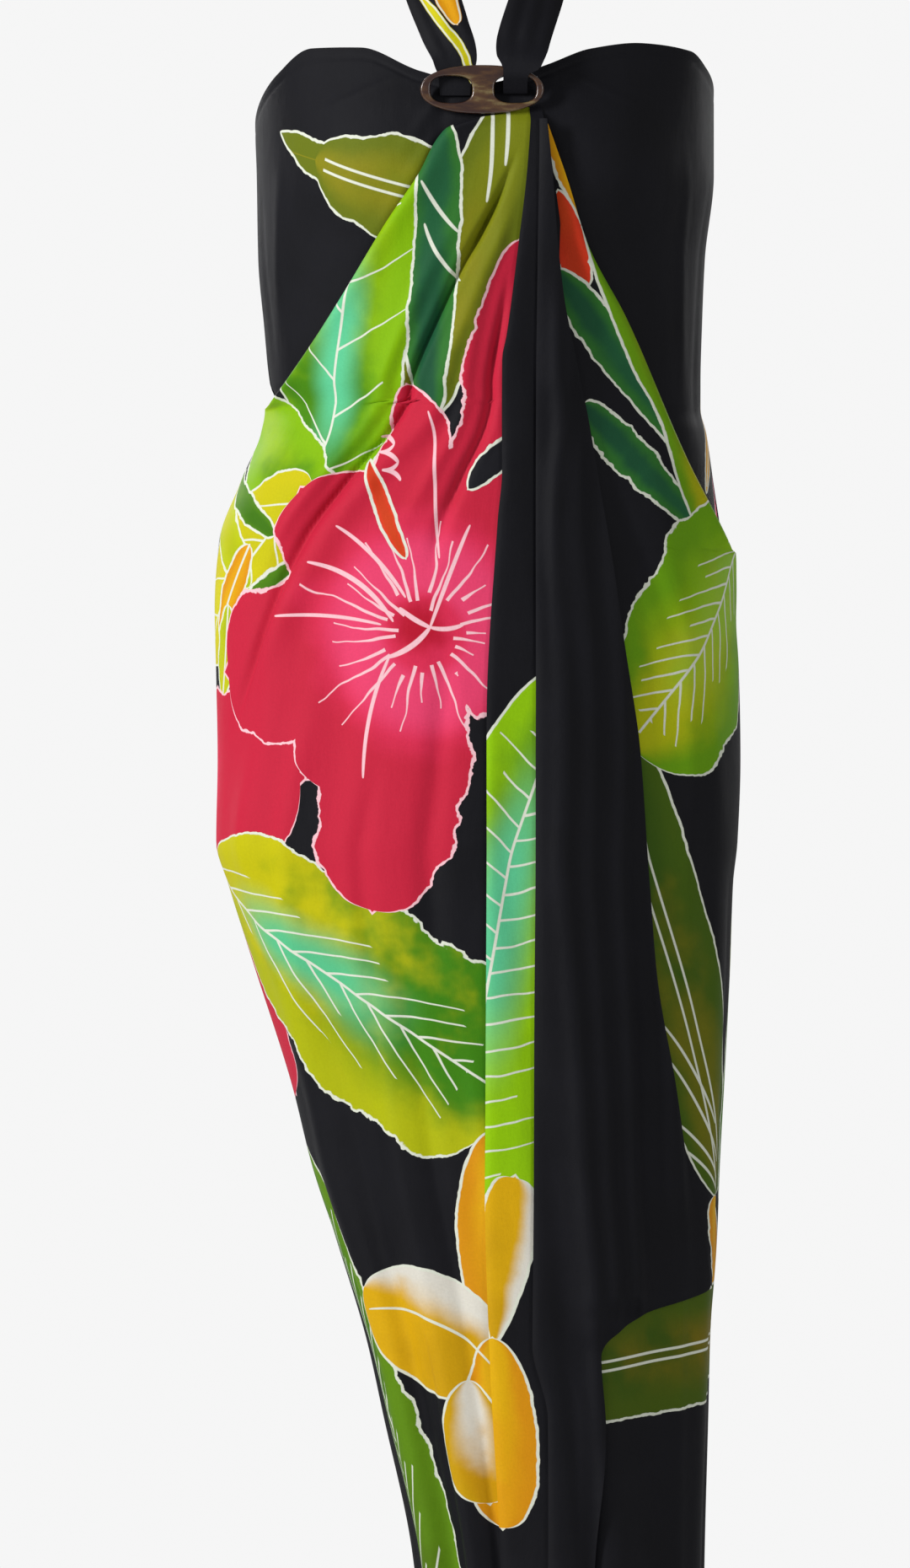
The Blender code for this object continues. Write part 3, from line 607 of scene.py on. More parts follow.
# Motif tables. Lobes, leaves and blades: base x and drop, tip x and drop, half width, bend, the profile's
# fore and aft powers, dye and settings. Petals have neither bend nor dye, and a flower paints those before
# it, from its throat. Strokes have a width and a bend. On the back, x goes on past the garment's sides
BACK_MOTIFS = (
    ("leaf", -134, 436, -186, 512, 26, 0, 0.6, 0.7, "green", {"Veins": 0.0}),
    ("leaf", -196, 520, -290, 430, 36, 4, 0.6, 0.7, "bright", {"Glow": 0.8, "Vein step": 20.0}),
    ("petal", -238, 672, -118, 668, 64, 0.5, 0.35),
    ("petal", -215, 700, -122, 880, 42, 0.5, 0.4),
    ("petal", -238, 672, -205, 556, 48, 0.5, 0.35),
    ("petal", -238, 672, -330, 590, 60, 0.5, 0.35),
    ("petal", -238, 672, -345, 730, 60, 0.5, 0.35),
    ("petal", -238, 672, -262, 810, 52, 0.5, 0.35),
    ("flower", -238, 672, {"From": 24.0, "To": 84.0}),
    ("leaf", -8, 1281, -118, 926, 26, 0, 0.55, 0.6, "edge", {"Vein step": 15.0, "Lean": 1.8}),
    ("leaf", -300, 990, -200, 840, 52, 6, 0.42, 0.5, "big",
     {"Glow": 1.0, "Vein step": 19.0, "One side": -0.7, "Wave": 0.07, "Waves": 2.4, "Ragged": 1.4}),
    ("blade", -230, 1110, -250, 1000, 25, 0, 0.5, 0.5, "amber", {}),
    ("blade", -226, 1120, -160, 1080, 32, 0, 0.45, 0.45, "bud", {"One side": 1.0}),
    ("leaf", -262, 330, -350, 420, 28, 4, 0.6, 0.7, "olive", {"Rib gap": 3.6, "Veins": 0.0}),
    ("petal", 330, 800, 300, 690, 48, 0.5, 0.35),
    ("petal", 330, 800, 410, 720, 48, 0.5, 0.35),
    ("petal", 330, 800, 420, 850, 48, 0.5, 0.35),
    ("petal", 330, 800, 340, 910, 48, 0.5, 0.35),
    ("petal", 330, 800, 240, 850, 48, 0.5, 0.35),
    ("flower", 330, 800, {"From": 22.0, "To": 74.0}),
    ("leaf", 178, 512, 98, 655, 48, 0, 0.4, 0.4, "side",
     {"Vein step": 13.0, "Lean": 1.0, "Glow": 0.6, "Ragged": 1.3, "Wave": 0.05, "Waves": 3.0}),
    ("leaf", 250, 640, 330, 500, 40, -6, 0.5, 0.55, "bright", {"Glow": 0.9, "Vein step": 20.0, "Lean": 1.3}),
    ("leaf", 34, 1074, 214, 1040, 40, 6, 0.2, 0.2, "band", {"Rib gap": 3.0, "Veins": 0.0, "Ragged": 0.4}),
    ("leaf", 290, 1220, 220, 1060, 32, 5, 0.5, 0.55, "long",
     {"Rib gap": 3.0, "Vein step": 34.0, "Lean": 1.8}),
    ("leaf", 300, 400, 225, 330, 20, 0, 0.6, 0.6, "teal", {"Veins": 0.0}),
)


GROOVE = {"below": 7.0, "reach": 1.2, "depth": 0.5}


def hem_groove(below_edge):
    """The pressed line of a narrow hem, a few millimetres below a top edge"""
    return -GROOVE["depth"] * np.exp(-(((below_edge - GROOVE["below"]) / GROOVE["reach"]) ** 2))


def make_back():
    columns = np.linspace(0, 1, 150)
    upper = along(TOP_EDGE, 1, 180 + 180 * columns)
    near_edge, below = np.linspace(0, 0.02, 16), np.linspace(0.025, 1, 214)
    share = np.concatenate((near_edge, below))[:, None]
    hem = HEM + 4 * np.sin(9 * columns)
    drop = upper + (hem - upper) * share
    angle = 180 + 180 * columns * np.ones_like(share)
    across, girth = cloth_across(angle, drop)
    maps = {
        "print": np.stack([across, -drop], axis=-1),
        "print right": np.stack([across + girth, -drop], axis=-1),
    }
    material = batik("back print", BACK_MOTIFS, "back")
    made = sheet_mesh("back_cloth", place(angle, drop, hem_groove(drop - upper)), maps, material)
    finish_cloth(made, ["wrap_back"], (0.53, 1.1), 0.44)


make_back()

# The bodice's two sides: the same cloth, brought from the back under each arm to the buckle, where it is
# gathered. Its top edge has a narrow hem, and its lower part runs under the drapes' folded ridges
BODICE_MEET = 88    # angle, behind the buckle, where the two sides of the bodice meet
TUCK = 12           # how far a bodice runs on under the drapes

# The folded ridges from the buckle to the hips: drop and x
LEFT_RIDGE = np.array([
    (227, 14), (231, -7), (238, -24), (269, -41), (302, -63), (360, -100), (418, -136),
], float)
RIGHT_RIDGE = np.array([(233, 42), (262, 51), (311, 67), (362, 95), (441, 129), (514, 162)], float)
# Gathers that fan out from the buckle over the bust, in the form of FOLDS
GATHERS = np.array([
    (196, 97, 262, 112, 3, 1.2, 7, 0.8), (204, 98, 300, 106, 3, -1.0, 6, -0.8),
    (192, 104, 226, 134, 3, 0.8, 8, 0.6), (214, 96, 330, 122, 4, 0.8, 9, 1.4),
    (196, 83, 262, 68, 3, 1.2, 7, 0.8), (204, 82, 300, 74, 3, -1.0, 6, -0.8),
    (192, 76, 226, 46, 3, 0.8, 8, 0.6), (214, 84, 340, 56, 4, 0.8, 9, 1.4),
    (250, 168, 400, 164, 6, -0.8, 8, -1.2), (240, 152, 380, 158, 7, 0.8, 8, 1.0),
    (250, 12, 460, 16, 6, -0.8, 8, -1.2), (240, 30, 420, 24, 7, 0.8, 8, 1.0),
], float)
BODICE_LEFT_MOTIFS = (
    ("lobe", -66, 279, -134, 235, 13, 0, 0.5, 0.75, {}),
    ("leaf", 26, 292, -106, 256, 34, 6, 0.5, 0.5, "olive", {"Rib gap": 3.6, "Veins": 0.0, "Wave": 0.05}),
)
BODICE_RIGHT_MOTIFS = (
    ("leaf", 158, 405, 152, 476, 7, 0, 0.5, 0.6, "amber", {"Veins": 0.0}),
    ("petal", 166, 460, 170, 545, 8, 0.5, 0.6),
    ("flower", 190, 500, {"From": 60.0, "To": 61.0}),
)


def make_bodice(name, node, first, last, ridge, motifs, cut):
    angles = np.linspace(first, last, 90)
    drops = np.linspace(ridge[0, 0], ridge[-1, 0], 80)
    ridge_angle = angle_at(drops, along(ridge, 1, drops))
    order = np.argsort(ridge_angle)
    lower = np.interp(angles, ridge_angle[order], drops[order]) + TUCK
    upper = along(TOP_EDGE, 1, angles)
    share = np.linspace(0, 1, 100)[:, None]
    drop = upper + (lower - upper) * share
    angle = angles * np.ones_like(share)
    tucked = -1.4 * ease((share - 0.7) / 0.3) + fold_height(GATHERS, angle, drop)
    maps = {"print": np.stack([cloth_across(angle, drop)[0], -drop], axis=-1)}
    points = place(angle, drop, tucked + hem_groove(drop - upper))
    made = sheet_mesh(name, points, maps, batik(name + " print", motifs))
    finish_cloth(made, [node], *cut)


make_bodice(
    "left_bodice", "bodice_left", 180, BODICE_MEET, LEFT_RIDGE, BODICE_LEFT_MOTIFS, ((0.22, 0.25), 0.036)
)
make_bodice(
    "right_bodice", "bodice_right", BODICE_MEET, 0, RIGHT_RIDGE, BODICE_RIGHT_MOTIFS, ((0.22, 0.35), 0.044)
)

# The left drape: the cloth's overlapping end, folded back on itself below the bodice and hung from the
# buckle. It carries the large hibiscus and most of the leaves
BORDER_REACH = 60       # in from a border, where its own lift gives way to the drape's
CALM_REACH = 14         # in from a border, where the creases begin
SHOULDER_WIDTH = 6      # of the rounded fold along a ridge
LEFT_LIFT, LEFT_SHOULDER = 4.7, 3.6     # of the left drape off the body, and of its fold above that
LEFT_FADE, SHOULDER_FADE = 400, 80      # drop from which a fold's shoulder fades, and for how long
BEHIND_BUCKLE = 224     # drop above which the cloth lies flat behind the buckle

# Lift of the left drape's left border: drop and height
LEFT_BORDER_LIFT = np.array([
    (220, 2.4), (360, 2.8), (400, 5.0), (418, 6.4), (440, 4.6), (480, 0.4), (500, 0), (1310, 0),
], float)
# The sharper creases of this drape, in the form of FOLDS
LEFT_CREASES = np.array([
    (232, 79, 330, 94, 2.4, -4.0, 3.0, -6.0), (262, 82, 520, 133, 3.2, -6.0, 4.0, -8.0),
    (440, 117, 650, 158, 4.0, -8.0, 6.5, -5.0), (244, 75, 470, 112, 5, 3.0, 9, 5.0),
    (400, 102, 620, 147, 9, 4.0, 13, 4.0), (280, 93, 560, 148, 6, 2.6, 9, 4.6),
    (320, 82, 540, 100, 3.0, -5.0, 4.5, -6.0), (360, 79, 640, 84, 4, 2.2, 8, 4.0),
    (330, 88, 520, 107, 4, 2.0, 6, 2.6), (600, 128, 900, 150, 8, 2.4, 13, 4.0),
    (640, 112, 900, 126, 6, -2.0, 9, -4.0), (560, 96, 820, 104, 6, -2.4, 9, -4.0),
    (760, 112, 1310, 116, 7, -2.0, 9, -4.5), (900, 160, 1310, 160, 7, -2.0, 9, -4.5),
    (1000, 130, 1310, 131, 6, -2.0, 8, -4.0), (820, 98, 1310, 101, 7, 2.0, 11, 4.0),
    (940, 144, 1310, 145, 7, 1.6, 11, 3.6),
], float)
DRAPE_LEFT_MOTIFS = (
    ("blade", 36, 196, -46, 436, 30, 0, 0.5, 0.5, "olive", {"Ragged": 0.5}),
    ("stroke", 7, 216, 3, 286, 2.2, 1, WAX),
    ("stroke", 17, 214, 15, 262, 2.2, 1, WAX),
    ("blade", -35, 434, -26, 230, 18, 0, 0.5, 0.42, "teal", {"Ragged": 0.6}),
    ("stroke", -38, 272, -15, 306, 2.2, -2, WAX),
    ("stroke", -37, 300, -14, 338, 2.2, -3, WAX),
    ("leaf", -116, 492, -50, 232, 48, 12, 0.45, 0.72, "bright",
     {"Glow": 1.0, "Glow at": 0.4, "Lean": 0.62, "Vein step": 44.0, "One side": -0.3, "Reach": 0.7}),
    ("blade", -100, 490, -162, 404, 30, 4, 0.35, 0.35, "bright", {}),
    ("leaf", -106, 474, -186, 586, 40, 0, 0.35, 0.5, "yellow", {"Vein step": 36.0, "Lean": 0.8}),
    ("blade", -152, 540, -170, 462, 15, 2, 0.5, 0.6, "lime", {}),
    ("blade", -134, 506, -160, 460, 8, 2, 0.5, 0.6, "green", {}),
    ("leaf", -114, 522, -164, 584, 12, -5, 0.5, 0.5, "green", {"Veins": 0.0}),
    ("leaf", -152, 512, -172, 572, 11, 0, 0.5, 0.6, "amber", {"Veins": 0.0}),
    ("leaf", -166, 552, -170, 618, 11, 0, 0.5, 0.6, "lime", {"Veins": 0.0}),
    ("petal", -238, 672, -118, 668, 64, 0.5, 0.35),
    ("petal", -215, 700, -122, 880, 42, 0.5, 0.4),
    ("flower", -238, 672, {"From": 24.0, "To": 66.0}),
    ("leaf", -178, 728, 20, 882, 72, 2, 0.65, 0.35, "big",
     {"Glow": 1.0, "Glow at": 0.42, "Vein step": 25.0, "Lean": 1.4, "One side": -0.4, "Wave": 0.07,
      "Waves": 3.2, "Ragged": 1.6, "Skew": -0.3, "Reach": 0.3}),
    ("petal", -12, 586, 24, 311, 31, 0.5, 0.6),
    ("petal", -24, 582, -50, 406, 27, 0.5, 0.5),
    ("petal", -29, 582, -116, 476, 46, 0.5, 0.35),
    ("petal", -35, 582, -166, 596, 54, 0.45, 0.3),
    ("petal", -36, 578, -114, 668, 34, 0.5, 0.4),
    ("petal", -41, 570, -72, 756, 50, 0.5, 0.4),
    ("petal", -29, 567, 56, 573, 62, 0.5, 0.4),
    ("flower", -38, 572, {"From": 16.0, "To": 88.0, "Rays": 27.0}),
    ("blade", 36, 440, -9, 476, 11, -4, 0.4, 0.6, "ground", {}),
    ("stroke", -34, 424, -28, 522, 1.8, 3),
    ("stroke", -8, 500, -34, 568, 2.2, 0),
    ("stroke", -54, 555, -34, 568, 3.0, -1),
    ("stroke", -12, 566, -34, 568, 2.6, 2),
    ("stroke", -34, 568, -62, 588, 3.2, 3),
    ("stroke", -60, 586, -78, 668, 2.2, -5),
    ("stroke", -112, 524, -58, 564, 3.0, 8),
    ("stroke", -94, 500, -50, 548, 2.4, 4),
    ("stroke", -132, 560, -66, 566, 2.0, 3),
    ("blade", -50, 522, -73, 456, 6, 0, 0.5, 0.6, "red", {"Ragged": 0.4}),
    ("stroke", -67, 440, -56, 446, 2.4, 2),
    ("stroke", -56, 446, -66, 451, 2.4, 2),
    ("stroke", -66, 451, -54, 458, 2.4, 2),
    ("stroke", -54, 458, -64, 463, 2.4, 2),
    ("stroke", -64, 463, -53, 470, 2.4, 2),
    ("leaf", -12, 1290, -124, 918, 42, 0, 0.45, 0.34, "edge",
     {"Vein step": 15.0, "Lean": 1.6, "Reach": 0.4}),
    ("blade", 14, 1050, 11, 902, 28, 0, 0.5, 0.5, "amber", {"Ragged": 0.5}),
    ("blade", 15, 1064, -70, 1010, 40, 0, 0.45, 0.5, "bud", {"One side": -1.0, "Ragged": 0.5}),
    ("blade", 17, 1168, 9, 1041, 25, 0, 0.4, 0.5, "amber", {"Ragged": 0.5}),
    ("blade", 6, 1152, -8, 1070, 23, 0, 0.4, 0.6, "bud top", {"Ragged": 0.5}),
    ("stroke", -66, 1024, 10, 1062, 1.6, 14, WAX),
)


def roll(distance, width):
    """A fold's rounded shoulder: 0 on its edge, 1 one width in, fading further in"""
    share = np.maximum(distance, 0) / width
    return share * np.exp(1 - share)


def drape(name, node, drops, left_angle, right_angle, columns, lift, material, cut):
    """A piece of the front, of level rows between its left and right borders"""
    drop = drops[:, None] * np.ones(columns)
    share = np.linspace(0, 1, columns)
    angle = left_angle[:, None] + (right_angle - left_angle)[:, None] * share
    span = np.radians(left_angle - right_angle)[:, None] * half_width(drops)[:, None]
    height = lift(drop, angle, span * share, span * (1 - share))
    maps = {"print": np.stack([cloth_across(angle, drop)[0], -drop], axis=-1)}
    made = sheet_mesh(name, place(angle, drop, height), maps, material)
    finish_cloth(made, [node], *cut)


def rows_between(start, middle, close, wide):
    """Drops from start to the hem, close mm apart down to middle and wide mm apart below"""
    upper = np.linspace(start, middle, int((middle - start) / close))
    lower = np.linspace(middle, HEM, int((HEM - middle) / wide))
    return np.concatenate((upper, lower[1:]))


def behind_buckle(drop):
    """Less lift where a piece's top edge goes behind the buckle"""
    return 0.2 + 0.8 * ease((drop - BEHIND_BUCKLE) / 9)


def ridge_border(ridge, drop, side):
    """Angles of a drape's border: along its ridge, then straight down the garment's side"""
    end = ridge[-1, 0]
    return np.where(drop < end, angle_at(drop, along(ridge, 1, np.minimum(drop, end))), side)


def left_drape_lift(drop, angle, from_left, from_right):
    border = along(LEFT_BORDER_LIFT, 1, drop)
    shoulder = 1 - ease((drop - LEFT_FADE) / SHOULDER_FADE)
    fold = LEFT_SHOULDER * shoulder * roll(from_left, SHOULDER_WIDTH)
    plain = border + (LEFT_LIFT - border) * ease(from_left / BORDER_REACH) + fold
    calm = ease(from_left / CALM_REACH) * ease((from_right - 8) / 20)
    return (plain + fold_height(LEFT_CREASES, angle, drop) * calm) * behind_buckle(drop)


def make_left_drape():
    drops = rows_between(start=223, middle=620, close=2.0, wide=5.2)
    left = ridge_border(LEFT_RIDGE, drops, 180)
    right = angle_at(drops, np.interp(drops, (223, 300, 340), (33, 35, 39)))
    material = batik("left drape print", DRAPE_LEFT_MOTIFS)
    cut = ((0.28, 1.07), 0.23)
    drape("left_drape", "drape_left", drops, left, right, 138, left_drape_lift, material, cut)


make_left_drape()

# The right drape: the cloth's under end, folded the other way. Its ridge shows as a narrow green strip, and
# its left part runs under the front panel
RIGHT_LIFT, RIGHT_SHOULDER = 2.2, 3.4   # of the right drape off the body, and of its fold above that
RIGHT_FADE = 490        # drop from which the fold's shoulder fades

# Lift of the right drape's right border: drop and height
RIGHT_BORDER_LIFT = np.array([
    (220, 2.4), (450, 2.6), (490, 4.6), (512, 5.4), (535, 3.6), (575, 0.3), (600, 0), (1310, 0),
], float)
# Left edge of the under end: drop and x
UNDER_EDGE = np.array([(233, 37), (300, 42), (400, 50), (600, 48), (1000, 32), (1310, 27)], float)
RIGHT_CREASES = np.array([
    (420, 62, 620, 36, 6, -1.0, 9, -1.6), (560, 40, 860, 34, 8, 1.0, 11, 1.6),
    (700, 14, 1310, 12, 8, -1.0, 10, -2.0), (900, 38, 1310, 36, 8, 0.8, 10, 1.6),
], float)
DRAPE_RIGHT_MOTIFS = (
    ("blade", 32, 206, 65, 302, 8, 0, 0.6, 0.6, "amber", {}),
    ("blade", 48, 278, 65, 344, 11, 0, 0.6, 0.4, "red", {}),
    ("blade", 47, 330, 129, 450, 15, 0, 0.5, 0.7, "teal", {}),
    ("blade", 66, 420, 152, 508, 13, -4, 0.3, 0.7, "teal", {}),
    ("blade", 64, 286, 159, 528, 19, 0, 0.6, 0.5, "ridge", {"Ragged": 0.4}),
    ("leaf", 156, 950, 92, 636, 40, 0, 0.4, 0.5, "long", {"Rib gap": 4.4, "Veins": 0.0, "Ragged": 0.5}),
    ("stroke", 118, 830, 152, 900, 1.8, 3, WAX),
    ("stroke", 119, 850, 154, 926, 1.8, 3, WAX),
    ("stroke", 125, 896, 154, 938, 1.8, 4, WAX),
    ("stroke", 129, 914, 153, 944, 1.8, 3, WAX),
    ("leaf", 176, 508, 98, 646, 65, 0, 0.4, 0.4, "side",
     {"Vein step": 16.0, "Lean": 1.0, "Glow": 0.6, "Ragged": 1.3, "Wave": 0.05, "Waves": 3.0, "Reach": 0.3,
      "Skew": 0.5}),
    ("leaf", 160, 952, 172, 800, 9, 0, 0.5, 0.6, "green", {"Veins": 0.0}),
    ("leaf", 176, 812, 172, 760, 7, 0, 0.5, 0.6, "lime", {"Veins": 0.0}),
    ("blade", 155, 1024, 152, 949, 16, 0, 0.5, 0.4, "amber", {}),
    ("leaf", 10, 1072, 236, 1040, 38, 4, 0.14, 0.14, "band", {"Rib gap": 3.0, "Veins": 0.0, "Ragged": 0.4}),
)


def right_shoulder(drop):
    return (1 - ease((drop - RIGHT_FADE) / SHOULDER_FADE)) * (0.15 + 0.85 * ease((drop - 250) / 60))


def right_drape_plain(drop, from_right):
    border = along(RIGHT_BORDER_LIFT, 1, drop)
    fold = RIGHT_SHOULDER * right_shoulder(drop) * roll(from_right, SHOULDER_WIDTH)
    return border + (RIGHT_LIFT - border) * ease(from_right / BORDER_REACH) + fold


def right_drape_lift(drop, angle, from_left, from_right):
    calm = ease(from_right / CALM_REACH)
    return right_drape_plain(drop, from_right) + fold_height(RIGHT_CREASES, angle, drop) * calm


def make_right_drape():
    drops = rows_between(start=234, middle=560, close=2.0, wide=5.0)
    right = ridge_border(RIGHT_RIDGE, drops, 0)
    left = angle_at(drops, along(UNDER_EDGE, 1, drops))
    material = batik("right drape print", DRAPE_RIGHT_MOTIFS)
    cut = ((0.27, 1.07), 0.167)
    drape("right_drape", "drape_right", drops, left, right, 70, right_drape_lift, material, cut)


make_right_drape()

# The centre pleat and the front panel: the overlapping end's last stretch, black but for a leaf and some
# petals, with a folded left edge, a soft pleat and the cloth's own selvedge hanging free on the right
PLEAT_LIFT, PANEL_LIFT = 7.3, 9.9       # heights off the body

# Left edge of the pleat, folded edge of the panel and its selvedge: drop and x
PLEAT_EDGE = np.array([
    (229, 31), (271, 28), (316, 23), (373, 16), (390, 13), (463, 13), (497, 10), (632, 3), (937, 3),
    (1050, 7), (1196, 16), (1310, 20),
], float)
PANEL_FOLD = np.array([(229, 36), (316, 35), (1044, 34), (1095, 44), (1310, 46)], float)
SELVEDGE = np.array([
    (231, 40), (342, 50), (429, 69), (582, 93), (649, 104), (796, 114), (937, 135), (1010, 146),
    (1030, 98), (1053, 76), (1103, 79), (1196, 74), (1310, 70),
], float)
PANEL_CREASES = np.array([
    (300, 72, 1310, 73, 5, 2.0, 8, 4.5), (400, 66, 1310, 65, 5, 1.0, 7, 2.6),
    (460, 58, 1310, 57, 6, 2.2, 9, 4.2), (620, 47, 1010, 44, 6, 1.4, 9, 3.2),
    (700, 52, 1010, 36, 5, 1.0, 7, 2.4),
], float)
PLEAT_MOTIFS = (
    ("leaf", -24, 966, 56, 596, 62, 0, 0.22, 0.45, "strip",
     {"Glow": 1.0, "Glow at": 0.55, "Vein step": 18.5, "Lean": 0.4, "Ragged": 0.4}),
    ("blade", 9, 1048, 22, 934, 17, 0, 0.8, 0.3, "bud", {"One side": -0.9, "Ragged": 0.5}),
    ("blade", 17, 1168, 9, 1041, 25, 0, 0.4, 0.5, "amber", {"Ragged": 0.5}),
)


def pleat_lift(drop, angle, from_left, from_right):
    return (PLEAT_LIFT + 1.2 * roll(from_left, 5) * ease((drop - 240) / 80)) * behind_buckle(drop)


def panel_lift(drop, angle, from_left, from_right):
    high = PANEL_LIFT + 2.0 * roll(from_left, 8)
    edge = ridge_border(RIGHT_RIDGE, drop, 0)
    low = right_drape_plain(drop, np.maximum(np.radians(angle - edge) * half_width(drop), 0)) + 3.0
    share = ease((from_left - 20) / np.maximum(from_left + from_right - 20, 14))
    calm = ease(from_left / 12)
    return np.maximum(high + (low - high) * share, low) + fold_height(PANEL_CREASES, angle, drop) * calm


def make_pleat_and_panel():
    drops = rows_between(start=223, middle=320, close=3.0, wide=5.0)
    left = angle_at(drops, along(PLEAT_EDGE, 1, drops))
    right = angle_at(drops, along(PANEL_FOLD, 1, drops) + np.interp(drops, (229, 300), (3, 14)))
    material, cut = batik("centre pleat print", PLEAT_MOTIFS), ((0.096, 1.07), 0.046)
    drape("pleat_cloth", "centre_pleat", drops, left, right, 24, pleat_lift, material, cut)
    above, at_step, below = (231, 1005, 190), (1008, 1110, 60), (1114, HEM, 36)
    drops = np.concatenate([np.linspace(*stretch) for stretch in (above, at_step, below)])
    left = angle_at(drops, along(PANEL_FOLD, 1, drops))
    right = angle_at(drops, along(SELVEDGE, 1, drops))
    material, cut = batik("front panel print", ()), ((0.145, 1.07), 0.065)
    drape("panel_cloth", "front_panel", drops, left, right, 62, panel_lift, material, cut)


make_pleat_and_panel()

# The ties: the cloth's two upper corners, rolled flat and drawn up through the buckle, round the neck and
# into a knot on the nape, with their ends hanging behind

# Routes of the bands: x, y and z of their middles, width, and the way that the outer side faces
BAND_ROUTES = {
    "tie_left": np.array([
        (-18, -206.9, -215, 20, 0, -1, 0), (-18, -206.9, -203, 22, 0, -1, 0),
        (-18, -206.0, -192, 29, 0, -1, 0), (-25, -200, -170, 33, -0.1, -1, 0.1),
        (-33, -191, -147, 35, -0.2, -1, 0.2),
        (-47, -160, -104, 36, -0.6, -0.8, 0.2), (-59, -115, -62, 34, -0.95, -0.4, 0.2),
        (-62, -70, -30, 30, -1, 0, 0.2), (-49, -24, -9, 24, -0.8, 0.6, 0), (-30, 0, -2, 18, -0.4, 0.9, 0),
        (-14.4, 7, 0, 14, -0.1, 1, 0),
    ], float),
    "tie_right": np.array([
        (22, -207.4, -213.5, 16, 0, -1, 0), (22, -211.0, -208, 16, 0, -1, -0.6),
        (22.5, -215.8, -200.5, 17, 0, -1, 0), (24.5, -215.2, -193, 30, 0, -1, 0.2),
        (27, -208.5, -180, 35, 0.1, -1, 0.2), (37, -191, -147, 35, 0.2, -1, 0.2),
        (49, -160, -104, 36, 0.6, -0.8, 0.2), (60, -115, -62, 34, 0.95, -0.4, 0.2),
        (63, -70, -30, 30, 1, 0, 0.2), (49, -24, -9, 24, 0.8, 0.6, 0), (30, 0, -2, 18, 0.4, 0.9, 0),
        (13.6, 7, 0, 14, 0.1, 1, 0),
    ], float),
    "tail_left": np.array([
        (-8, 18.0, -4, 13, 0, 1, 0), (-13, 23, -24, 20, 0, 1, 0), (-18, 24, -55, 27, -0.1, 1, 0),
        (-22, 26, -90, 20, -0.1, 1, 0), (-27, 27, -112, 4, -0.1, 1, 0),
    ], float),
    "tail_right": np.array([
        (8, 18.6, -4, 13, 0, 1, 0), (14, 24, -22, 19, 0.1, 1, 0), (22, 26, -48, 25, 0.1, 1, 0),
        (29, 26, -78, 18, 0.1, 1, 0), (33, 26, -97, 4, 0.1, 1, 0),
    ], float),
}
BAND_MOTIFS = {
    "tie_left": (
        ("blade", 12, 8, -8, 76, 2.5, 0, 0.4, 0.4, "yellow", {"Ragged": 0.3}),
        ("blade", 9, 46, 4, 130, 7, 0, 0.4, 0.5, "amber", {"Ragged": 0.3}),
        ("leaf", -6, 150, 8, 250, 8, 0, 0.5, 0.5, "green", {"Veins": 0.0}),
    ),
    "tie_right": (("leaf", 8, 170, -8, 260, 8, 0, 0.5, 0.5, "lime", {"Veins": 0.0}),),
    "tail_left": (("leaf", 0, 50, -4, 110, 7, 0, 0.5, 0.5, "olive", {"Veins": 0.0}),),
    "tail_right": (),
}


FULL_WIDTH = 35     # width of a tie where it is cupped most


def make_band(node, rows, columns, cup, flat_for, cut):
    """A band along its route, flat for a way and then cupped and pleated"""
    table = BAND_ROUTES[node]
    steps = np.concatenate(([0], np.cumsum(np.linalg.norm(np.diff(table[:, :3], axis=0), axis=1))))
    keyed = np.column_stack((steps, table))
    at = np.linspace(0, steps[-1], rows)
    middle = np.column_stack([along(keyed, c, at) for c in (1, 2, 3)])
    width = along(keyed, 4, at)
    facing = np.column_stack([along(keyed, c, at) for c in (5, 6, 7)])
    tangent = np.gradient(middle, axis=0)
    across = np.cross(tangent, facing)
    across /= np.linalg.norm(across, axis=1)[:, None]
    outward = np.cross(across, tangent)
    outward /= np.linalg.norm(outward, axis=1)[:, None]
    share = np.linspace(-1, 1, columns)[None, :, None]
    points = middle[:, None] + across[:, None] * width[:, None, None] / 2 * share
    bend = cup * width / FULL_WIDTH * ease((at - flat_for) / 25)
    pleats = 0.5 * np.sin(share * 9 + at[:, None, None] / 37) * ease((at - flat_for) / 20)[:, None, None]
    points = points + outward[:, None] * ((1 - share**2) * bend[:, None, None] + pleats)
    flat = np.stack([share[..., 0] * width[:, None] / 2, -at[:, None] * np.ones((1, columns))], axis=-1)
    material = batik(node + " print", BAND_MOTIFS[node], "tie")
    made = sheet_mesh(node + "_cloth", points, {"print": flat}, material)
    finish_cloth(made, [node], *cut)


make_band("tie_left", 150, 21, cup=2.5, flat_for=22, cut=((0.036, 0.35), 0.0109))
make_band("tie_right", 150, 21, cup=2.5, flat_for=26, cut=((0.036, 0.35), 0.0109))
make_band("tail_left", 60, 17, cup=1.5, flat_for=4, cut=((0.027, 0.11), 0.0024))
make_band("tail_right", 60, 17, cup=1.5, flat_for=4, cut=((0.025, 0.1), 0.002))

# The knot on the nape: the two corners tied over each other and pulled tight, a lump of turned cloth
KNOT_RINGS, KNOT_AROUND = 60, 90
KNOT = {"half_wide": 13.4, "half_deep": 9.3, "half_high": 13.0, "y": 9.5}
KNOT_MOTIFS = (("leaf", -14, -8, 12, 10, 4, 0, 0.5, 0.5, "olive", {"Veins": 0.0}),)


